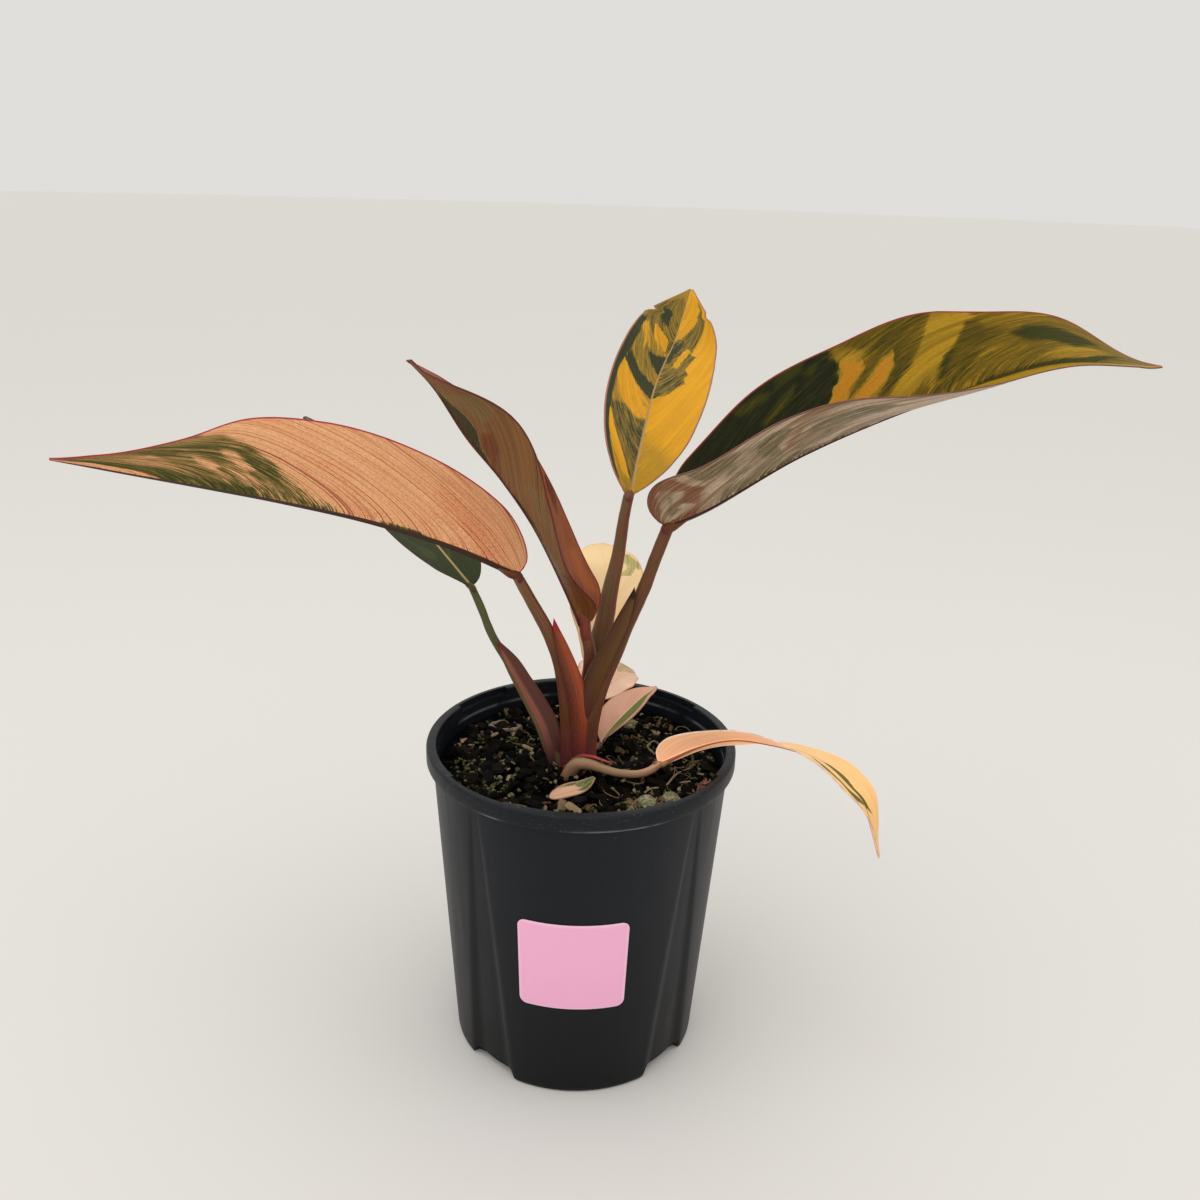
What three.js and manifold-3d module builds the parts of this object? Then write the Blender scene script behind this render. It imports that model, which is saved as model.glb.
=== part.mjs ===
// A young variegated philodendron in a black nursery pot.
// Millimetres, +Z up. The origin is the middle of the pot's underside, the front faces -Y.
import * as THREE from 'three';
import * as BufferGeometryUtils from 'three/addons/utils/BufferGeometryUtils.js';
import Module from 'manifold-3d';

const wasm = await Module();
wasm.setup();

// Pot
const POT_HEIGHT = 149.5;
const RIM_RADIUS = 70;
const BAND_HEIGHT = 7.5;
const WALL_TOP_RADIUS = 67.1;
const WALL_FOOT_RADIUS = 57;
const LIP_WIDTH = 4.5;
const WALL = 1.6;
const FLOOR = 2;
const POT_TURN = 3.5; // degrees, how far the feet stand turned from the front
const FLUTE_TOP_HALF_ANGLE = 2; // degrees
const FLUTE_FOOT_HALF_ANGLE = 14;
const FLUTE_FOOT_DEPTH = 2.4;
const FLUTE_BEND = 0.6; // share of a flute's half width where its flank meets its bottom
const FLUTE_FADE = 0.8;
const NOTCH_HEIGHT = 5;
const NOTCH_FLARE = 3; // degrees that a notch is wider on each side at the ground
const NOTCH_HALF_ANGLE = 12;
const NOTCH_INNER_RADIUS = 45;
const RECESS_DEPTH = 3;
const RECESS_REACH = 1.9;
const RECESS_HALF_ANGLE = 13.5;
const BEAD = 0.6; // small roundings of the rim band
const RIM_ROUNDING = 1;
const BORE_FOOT_RADIUS = 45; // the lip's underside slopes from here to its inner edge
const CUT_OVERRUN = 1; // how far a cutting body reaches past what it cuts
const CORNERS = [45, 135, 225, 315]; // degrees, where flutes, notches and recesses lie
const WALL_ARC_STEPS = 6; // facets of the wall between two flutes
const ROUND_STEPS = 48; // facets of a full turn of the rim
const WALL_LEVELS = [6, 70]; // heights between floor and band where the wall has a ring

// Sticker
const LABEL_WIDTH = 47.5;
const LABEL_HEIGHT = 45;
const LABEL_MIDDLE = 71.5; // height above the ground
const LABEL_ANGLE = -91.2; // degrees round the wall
const LABEL_CORNER = 3.5;
const LABEL_THICKNESS = 0.6;
const LABEL_CONE_STEPS = 72;

// Mix and crown
const MIX_LEVEL = 139;
const MIX_EDGE_DROP = 6; // how far below the level the mix meets the wall
const MIX_SWELL = 0.8;
const MIX_MOUND = 3; // height of the mound round the crown
const MOUND_SPREAD = 18;
const MIX_SLOPE = 1.9; // fall from the middle to the wall
const MIX_RING_SHARES = [0.985, 0.8, 0.6, 0.38, 0.16]; // rings of the top, as shares of the brim
const CHIP_COUNT = 36;
const CHIP_SEED = 11;
const CHIP_NEAREST = 16; // from the pot's middle
const CHIP_FARTHEST = 56;
const CHIP_SMALLEST = 2;
const CHIP_LARGEST = 4.4;
const CHIP_SINK = 0.1;
const CROWN_FOOT = 122;
const CROWN_TOP = 146;
const CROWN_RADIUS = 8;
const CROWN_STEPS = 16;
const CROWN_PLACE = [-3, -6];

// Clearance between neighbours that touch, and leaf thickness
const GAP = 0.35;
const BLADE_THICKNESS = 0.7;
const STALK_SIDES = 8;
const STALK_RINGS_A_POINT = 1.4;
const FACET_TOLERANCE = 0.04; // facets this close to level are joined

const group = new THREE.Group();
const radians = THREE.MathUtils.degToRad;

// A number that changes smoothly along a leaf or stalk, from a few hand-set values.
function along(values, u) {
  const last = values.length - 1;
  const place = Math.min(Math.max(u, 0), 1) * last;
  const i = Math.min(Math.floor(place), last - 1);
  const t = place - i;
  const before = i > 0 ? values[i - 1] : 2 * values[0] - values[1];
  const after = i + 2 <= last ? values[i + 2] : 2 * values[last] - values[last - 1];
  const startSlope = (values[i + 1] - before) / 2;
  const endSlope = (after - values[i]) / 2;
  const t2 = t * t;
  const t3 = t2 * t;
  return (2 * t3 - 3 * t2 + 1) * values[i] + (t3 - 2 * t2 + t) * startSlope
    + (3 * t2 - 2 * t3) * values[i + 1] + (t3 - t2) * endSlope;
}

// Place, forward, up and side directions at share u of the way along a route.
function frameAt(curve, face, u) {
  const forward = curve.getTangentAt(u);
  const up = new THREE.Vector3(...[0, 1, 2].map((axis) => along(face.map((f) => f[axis]), u)));
  up.addScaledVector(forward, -up.dot(forward)).normalize();
  const side = new THREE.Vector3().crossVectors(forward, up);
  return { place: curve.getPointAt(u), forward, up, side };
}

function route(points) {
  const places = points.map((p) => new THREE.Vector3(...p));
  const curve = new THREE.CatmullRomCurve3(places, false, 'catmullrom', 0.5);
  curve.arcLengthDivisions = 400;
  return curve;
}

// Solid work: a closed geometry to a solid and back, and a solid shown as a named mesh.
function toSolid(geometry) {
  const bare = geometry.clone();
  bare.deleteAttribute('normal');
  bare.deleteAttribute('uv');
  const merged = BufferGeometryUtils.mergeVertices(bare, 1e-4);
  return new wasm.Manifold(new wasm.Mesh({
    numProp: 3,
    vertProperties: new Float32Array(merged.attributes.position.array),
    triVerts: new Uint32Array(merged.index.array),
  }));
}

function toGeometry(solid) {
  const mesh = solid.getMesh();
  const geometry = new THREE.BufferGeometry();
  geometry.setAttribute('position', new THREE.BufferAttribute(mesh.vertProperties, 3));
  geometry.setIndex(new THREE.BufferAttribute(mesh.triVerts, 1));
  geometry.computeVertexNormals();
  return geometry;
}

// The largest piece of a solid, without the scraps that a cut may leave.
function largestPiece(solid) {
  const pieces = solid.decompose();
  return pieces.reduce((best, piece) => (piece.volume() > best.volume() ? piece : best));
}

function show(name, solid, color, roughness) {
  const material = new THREE.MeshStandardMaterial({ color, roughness, metalness: 0 });
  const mesh = new THREE.Mesh(toGeometry(solid.simplify(FACET_TOLERANCE)), material);
  mesh.name = name;
  group.add(mesh);
}

// A closed body through rings of equal point count, each ring a list of vectors.
function loft(rings) {
  const count = rings[0].length;
  const positions = rings.flat().flatMap((p) => [p.x, p.y, p.z]);
  const index = [];
  for (let r = 0; r + 1 < rings.length; r += 1) {
    for (let i = 0; i < count; i += 1) {
      const next = (i + 1) % count;
      const a = r * count + i;
      const b = r * count + next;
      index.push(a, b, b + count, a, b + count, a + count);
    }
  }
  const capRing = (ring, start, flip) => {
    const middle = ring.reduce((sum, p) => sum.add(p), new THREE.Vector3()).divideScalar(count);
    const centre = positions.length / 3;
    positions.push(middle.x, middle.y, middle.z);
    for (let i = 0; i < count; i += 1) {
      const next = (i + 1) % count;
      index.push(centre, start + (flip ? next : i), start + (flip ? i : next));
    }
  };
  capRing(rings[0], 0, true);
  capRing(rings[rings.length - 1], (rings.length - 1) * count, false);
  const geometry = new THREE.BufferGeometry();
  geometry.setAttribute('position', new THREE.BufferAttribute(new Float32Array(positions), 3));
  geometry.setIndex(index);
  const solid = toSolid(geometry);
  return solid.volume() > 0 ? solid : toSolid(turnedInsideOut(geometry));
}

function turnedInsideOut(geometry) {
  const index = Array.from(geometry.index.array);
  for (let i = 0; i < index.length; i += 3) {
    [index[i], index[i + 1]] = [index[i + 1], index[i]];
  }
  geometry.setIndex(index);
  return geometry;
}

// Pot: wall with four flutes that deepen towards the foot, rim band, floor, notches.
function wallRadius(height) {
  const share = height / (POT_HEIGHT - BAND_HEIGHT);
  return WALL_FOOT_RADIUS + (WALL_TOP_RADIUS - WALL_FOOT_RADIUS) * share;
}

// Half the angle of a flute at a height, in degrees.
function fluteHalfAngle(height) {
  const share = height / (POT_HEIGHT - BAND_HEIGHT);
  return FLUTE_FOOT_HALF_ANGLE + (FLUTE_TOP_HALF_ANGLE - FLUTE_FOOT_HALF_ANGLE) * share;
}

// One ring of the wall, inset by the given distance, with points at the flutes' creases.
function wallRing(height, inset) {
  const half = fluteHalfAngle(height);
  const share = height / (POT_HEIGHT - BAND_HEIGHT);
  const depth = FLUTE_FOOT_DEPTH * (1 - share) ** FLUTE_FADE;
  const ring = [];
  for (const corner of CORNERS) {
    const between = 90 - 2 * half;
    const angles = [-half, -half * FLUTE_BEND, 0, half * FLUTE_BEND];
    for (const angle of angles) {
      const sunk = Math.abs(angle) < half ? depth : 0;
      ring.push([corner + angle, sunk]);
    }
    for (let i = 0; i < WALL_ARC_STEPS; i += 1) {
      ring.push([corner + half + (between * i) / WALL_ARC_STEPS, 0]);
    }
  }
  return ring.map(([angle, sunk]) => {
    const radius = wallRadius(height) - sunk - inset;
    const turn = radians(angle + POT_TURN);
    return new THREE.Vector3(radius * Math.cos(turn), radius * Math.sin(turn), height);
  });
}

// A block that fills an angle of the pot between two radii and two heights.
function sector(middle, halfAngle, inner, outer, low, high, narrowing = 0) {
  const steps = 3;
  const arc = (radius, height, half) => Array.from({ length: steps + 1 }, (_, i) => {
    const turn = radians(middle + POT_TURN - half + (2 * half * i) / steps);
    return new THREE.Vector3(radius * Math.cos(turn), radius * Math.sin(turn), height);
  });
  const ringAt = (height, half) => [
    ...arc(outer, height, half), ...arc(inner, height, half).reverse(),
  ];
  return loft([ringAt(low, halfAngle), ringAt(high, halfAngle - narrowing)]);
}

// A turned solid from a profile of [radius, height] points that starts and ends on the axis.
function turned(profile, segments) {
  const points = profile.map(([radius, height]) => new THREE.Vector2(radius, height));
  const geometry = new THREE.LatheGeometry(points, segments);
  geometry.rotateX(Math.PI / 2);
  const solid = toSolid(geometry);
  return solid.volume() > 0 ? solid : toSolid(turnedInsideOut(geometry.toNonIndexed()));
}

function makePot() {
  const bandFoot = POT_HEIGHT - BAND_HEIGHT;
  const above = POT_HEIGHT + CUT_OVERRUN;
  const levels = [...WALL_LEVELS, bandFoot];
  const shell = loft([0, ...levels].map((height) => wallRing(height, 0)));
  const hollow = loft([FLOOR, ...levels, above].map((height) => {
    const ring = wallRing(Math.min(height, bandFoot), WALL);
    ring.forEach((p) => { p.z = height; });
    return ring;
  }));
  const lipRadius = RIM_RADIUS - LIP_WIDTH;
  const band = turned([
    [0, bandFoot], [RIM_RADIUS - BEAD, bandFoot], [RIM_RADIUS, bandFoot + BEAD],
    [RIM_RADIUS, POT_HEIGHT - RIM_ROUNDING], [RIM_RADIUS - RIM_ROUNDING, POT_HEIGHT],
    [lipRadius, POT_HEIGHT], [0, POT_HEIGHT],
  ], ROUND_STEPS);
  const bore = turned([
    [0, FLOOR + CUT_OVERRUN], [BORE_FOOT_RADIUS, FLOOR + CUT_OVERRUN],
    [lipRadius - CUT_OVERRUN, bandFoot - LIP_WIDTH], [lipRadius, POT_HEIGHT - BEAD],
    [lipRadius + BEAD, POT_HEIGHT], [lipRadius + BEAD, above], [0, above],
  ], ROUND_STEPS);
  let pot = shell.add(band).subtract(hollow).subtract(bore);
  for (const corner of CORNERS) {
    const notch = sector(corner, NOTCH_HALF_ANGLE + NOTCH_FLARE, NOTCH_INNER_RADIUS, RIM_RADIUS,
      -CUT_OVERRUN, NOTCH_HEIGHT, NOTCH_FLARE);
    const recess = sector(corner, RECESS_HALF_ANGLE, lipRadius - RECESS_REACH,
      lipRadius + RECESS_REACH, POT_HEIGHT - RECESS_DEPTH, above);
    pot = pot.subtract(notch).subtract(recess);
  }
  return pot;
}

// Sticker: a thin shell that follows the wall, trimmed to a rounded square.
function makeLabel() {
  const inner = (height) => wallRadius(height) + GAP;
  const low = LABEL_MIDDLE - LABEL_HEIGHT;
  const high = LABEL_MIDDLE + LABEL_HEIGHT;
  const segments = LABEL_CONE_STEPS;
  const outerCone = turned([
    [0, low], [inner(low) + LABEL_THICKNESS, low], [inner(high) + LABEL_THICKNESS, high], [0, high],
  ], segments);
  const innerCone = turned([
    [0, low - 1], [inner(low - 1), low - 1], [inner(high + 1), high + 1], [0, high + 1],
  ], segments);
  const outline = new THREE.Shape();
  const radius = wallRadius(LABEL_MIDDLE);
  const halfAngle = LABEL_WIDTH / 2 / radius;
  const halfWidth = radius * Math.sin(halfAngle);
  const halfHeight = LABEL_HEIGHT / 2;
  const corners = [[1, -1, -90], [1, 1, 0], [-1, 1, 90], [-1, -1, 180]];
  for (const [x, y, start] of corners) {
    const middle = [x * (halfWidth - LABEL_CORNER), y * (halfHeight - LABEL_CORNER)];
    outline.absarc(...middle, LABEL_CORNER, radians(start), radians(start + 90), false);
  }
  const block = new THREE.ExtrudeGeometry(outline, {
    depth: WALL_TOP_RADIUS, bevelEnabled: false, curveSegments: 4,
  });
  block.rotateX(Math.PI / 2);
  block.translate(0, -WALL_FOOT_RADIUS / 2, LABEL_MIDDLE);
  block.rotateZ(radians(LABEL_ANGLE + 90));
  return outerCone.subtract(innerCone).intersect(toSolid(block));
}

// Seeded random numbers from 0 to 1.
function randomSource(seed) {
  let state = seed;
  return () => {
    state = (state * 16807) % 2147483647;
    return state / 2147483647;
  };
}

// Height of the mix at a place: low swells, lower towards the wall, a mound at the crown.
function mixHeight(x, y) {
  const swell = Math.sin(x * 0.21 + 1) * Math.cos(y * 0.17) + Math.sin(x * 0.4 - y * 0.33) * 0.6;
  const [crownX, crownY] = CROWN_PLACE;
  const mound = Math.exp(-((x - crownX) ** 2 + (y - crownY) ** 2) / MOUND_SPREAD ** 2);
  const slope = (x ** 2 + y ** 2) / WALL_TOP_RADIUS ** 2;
  return MIX_LEVEL + MIX_SWELL * swell + MIX_MOUND * mound - MIX_SLOPE * slope;
}

// Potting mix: fills the pot to below the lip, its top raised by a formula and set with chips.
function makeMix() {
  const inset = WALL + GAP;
  const side = [FLOOR + GAP, ...WALL_LEVELS, MIX_LEVEL - MIX_EDGE_DROP];
  const rings = side.map((height) => wallRing(height, inset));
  const brim = rings[rings.length - 1];
  for (const share of MIX_RING_SHARES) {
    rings.push(brim.map(({ x, y }) => {
      const [innerX, innerY] = [x * share, y * share];
      return new THREE.Vector3(innerX, innerY, mixHeight(innerX, innerY));
    }));
  }
  return loft(rings);
}

// A bark chip: a squashed block with twenty faces, turned at random and half sunk in the mix.
function chipSolid(x, y, size, random) {
  const chip = new THREE.IcosahedronGeometry(size, 0);
  chip.scale(1.2, 0.8, 0.65);
  chip.rotateX(random() - 0.5);
  chip.rotateZ(random() * Math.PI);
  chip.translate(x, y, mixHeight(x, y) - size * CHIP_SINK);
  return toSolid(chip);
}

function withChips(mix) {
  const random = randomSource(CHIP_SEED);
  let solid = mix;
  for (let i = 0; i < CHIP_COUNT; i += 1) {
    const radius = CHIP_NEAREST + (CHIP_FARTHEST - CHIP_NEAREST) * Math.sqrt(random());
    const turn = random() * Math.PI * 2;
    const size = CHIP_SMALLEST + (CHIP_LARGEST - CHIP_SMALLEST) * random();
    solid = solid.add(chipSolid(radius * Math.cos(turn), radius * Math.sin(turn), size, random));
  }
  return solid;
}

// Stalks: an oval section carried along a route, wider where the sheath wraps the crown.
function stalkSolid({ points, face, halfWidths, halfDepths }, extra = 0) {
  const curve = route(points);
  const steps = Math.round(points.length * STALK_RINGS_A_POINT);
  const rings = [];
  for (let i = 0; i <= steps; i += 1) {
    const u = i / steps;
    const { place, forward, up, side } = frameAt(curve, face, u);
    if (i === 0) place.addScaledVector(forward, -extra);
    if (i === steps) place.addScaledVector(forward, extra);
    const across = along(halfWidths, u) + extra;
    const deep = along(halfDepths, u) + extra;
    const ring = [];
    for (let k = 0; k < STALK_SIDES; k += 1) {
      const turn = (k / STALK_SIDES) * Math.PI * 2;
      ring.push(place.clone()
        .addScaledVector(side, across * Math.cos(turn))
        .addScaledVector(up, deep * Math.sin(turn)));
    }
    rings.push(ring);
  }
  return loft(rings);
}

function stalkWithSheath(stalk, extra = 0) {
  const parts = [stalk, ...(stalk.sheaths ?? [])];
  return parts.map((part) => stalkSolid(part, extra)).reduce((all, part) => all.add(part));
}

// Blades. Each half is as wide as its widths say, leaves the midrib at the fold angle, curls on
// by the curl angle and reaches back past the stalk by the lobe.
const BASE_ROUNDING = 0.1; // share of the length over which the base rounds out
const LOBE_FADE = 0.08; // share of the length over which a lobe dies out
const FLAT_WIDTH = 5; // a half narrower than this folds and curls less
const LEAST_WIDTH = 0.6;
const CURVE_STEPS = 24;

// Share of a half's width that its nicks leave. A nick of negative depth is a small spike.
function nickedShare(nicks, u) {
  return nicks.reduce((share, [middle, reach, depth]) => (
    share * (1 - depth * Math.max(1 - Math.abs(u - middle) / reach, 0))), 1);
}

function halfSection(half, u, columns) {
  const start = Math.min(u / BASE_ROUNDING, 1);
  const rounded = Math.sqrt(start * (2 - start));
  const end = half.blunt ? Math.max((u - 1) / half.blunt + 1, 0) : 0;
  const blunted = Math.sqrt(Math.max(1 - end ** 2, 0)) * nickedShare(half.nicks ?? [], u);
  const width = Math.max(along(half.widths, u) * rounded * blunted, LEAST_WIDTH);
  const flattening = Math.min(width / FLAT_WIDTH, 1);
  const fold = radians(along(half.fold, u)) * flattening;
  const curl = radians(along(half.curl, u)) * flattening;
  const places = [];
  let across = 0;
  let rise = 0;
  for (let i = 0; i <= CURVE_STEPS; i += 1) {
    const v = i / CURVE_STEPS;
    if (places.length < columns.length && columns[places.length] <= v + 1e-9) {
      places.push([across * width, rise * width]);
    }
    const angle = fold + curl * (v + 0.5 / CURVE_STEPS);
    across += Math.cos(angle) / CURVE_STEPS;
    rise += Math.sin(angle) / CURVE_STEPS;
  }
  const back = half.lobe * Math.exp(-u / LOBE_FADE) * rounded;
  return { places, back };
}

// Columns across one half of a blade, as shares of its width.
const COLUMNS = [0, 0.125, 0.375, 0.6875, 1];
const ROW_BIAS = 1.35; // rows stand closer together near the stalk
const RIB_TAPER = 0.85; // share of the midrib's height lost by the tip

// Shares of a blade's length that have a row, with three rows more at each nick.
function rowShares({ left, right, rows }) {
  const shares = Array.from({ length: rows + 1 }, (_, r) => (r / rows) ** ROW_BIAS);
  const nicks = [left, right].flatMap((half) => half.nicks ?? []);
  nicks.forEach(([middle, reach]) => shares.push(middle - reach, middle, middle + reach));
  return shares.sort((a, b) => a - b);
}

function bladeSheet(blade) {
  const { points, face, left, right } = blade;
  const curve = route(points);
  const sheet = [];
  for (const u of rowShares(blade)) {
    const { place, forward, up, side } = frameAt(curve, face, u);
    const halves = [[left, -1], [right, 1]].map(([half, sign]) => {
      const { places, back } = halfSection(half, u, COLUMNS);
      return places.map(([across, rise], i) => place.clone()
        .addScaledVector(side, sign * across)
        .addScaledVector(up, rise)
        .addScaledVector(forward, -back * COLUMNS[i]));
    });
    sheet.push([...halves[0].slice(1).reverse(), ...halves[1]]);
  }
  return sheet;
}

// The direction off the upper face at each point of a sheet.
function sheetNormals(sheet) {
  const rows = sheet.length;
  const columns = sheet[0].length;
  return sheet.map((row, r) => row.map((_, c) => {
    const lengthwise = sheet[Math.min(r + 1, rows - 1)][c].clone()
      .sub(sheet[Math.max(r - 1, 0)][c]);
    const crosswise = row[Math.min(c + 1, columns - 1)].clone().sub(row[Math.max(c - 1, 0)]);
    return crosswise.cross(lengthwise).normalize();
  }));
}

// A blade of even thickness with a midrib standing out of its underside.
function bladeSolid(blade, extra = 0) {
  const sheet = bladeSheet(blade);
  const normals = sheetNormals(sheet);
  const rows = sheet.length;
  const columns = sheet[0].length;
  const middle = (columns - 1) / 2;
  const half = BLADE_THICKNESS / 2 + extra;
  const points = [];
  for (const side of [1, -1]) {
    sheet.forEach((row, r) => row.forEach((point, c) => {
      const taper = 1 - (RIB_TAPER * r) / (rows - 1);
      const rib = side < 0 && c === middle ? blade.rib * taper : 0;
      points.push(point.clone().addScaledVector(normals[r][c], side * (half + rib)));
    }));
  }
  const index = [];
  const under = rows * columns;
  const quad = (a, b, c, d) => index.push(a, b, c, a, c, d);
  for (let r = 0; r + 1 < rows; r += 1) {
    for (let c = 0; c + 1 < columns; c += 1) {
      const a = r * columns + c;
      quad(a, a + 1, a + columns + 1, a + columns);
      const b = a + under;
      index.push(b, b + columns + 1, b + 1, b, b + columns, b + columns + 1);
    }
    for (const [c, flip] of [[0, false], [columns - 1, true]]) {
      const a = r * columns + c;
      const edge = [a, a + columns, a + columns + under, a + under];
      quad(...(flip ? edge.reverse() : edge));
    }
  }
  for (const [r, flip] of [[0, true], [rows - 1, false]]) {
    for (let c = 0; c + 1 < columns; c += 1) {
      const a = r * columns + c;
      const edge = [a, a + 1, a + 1 + under, a + under];
      quad(...(flip ? edge.reverse() : edge));
    }
  }
  const geometry = new THREE.BufferGeometry();
  const places = new Float32Array(points.flatMap((p) => [p.x, p.y, p.z]));
  geometry.setAttribute('position', new THREE.BufferAttribute(places, 3));
  geometry.setIndex(index);
  const solid = toSolid(geometry);
  return solid.volume() > 0 ? solid : toSolid(turnedInsideOut(geometry));
}

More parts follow.
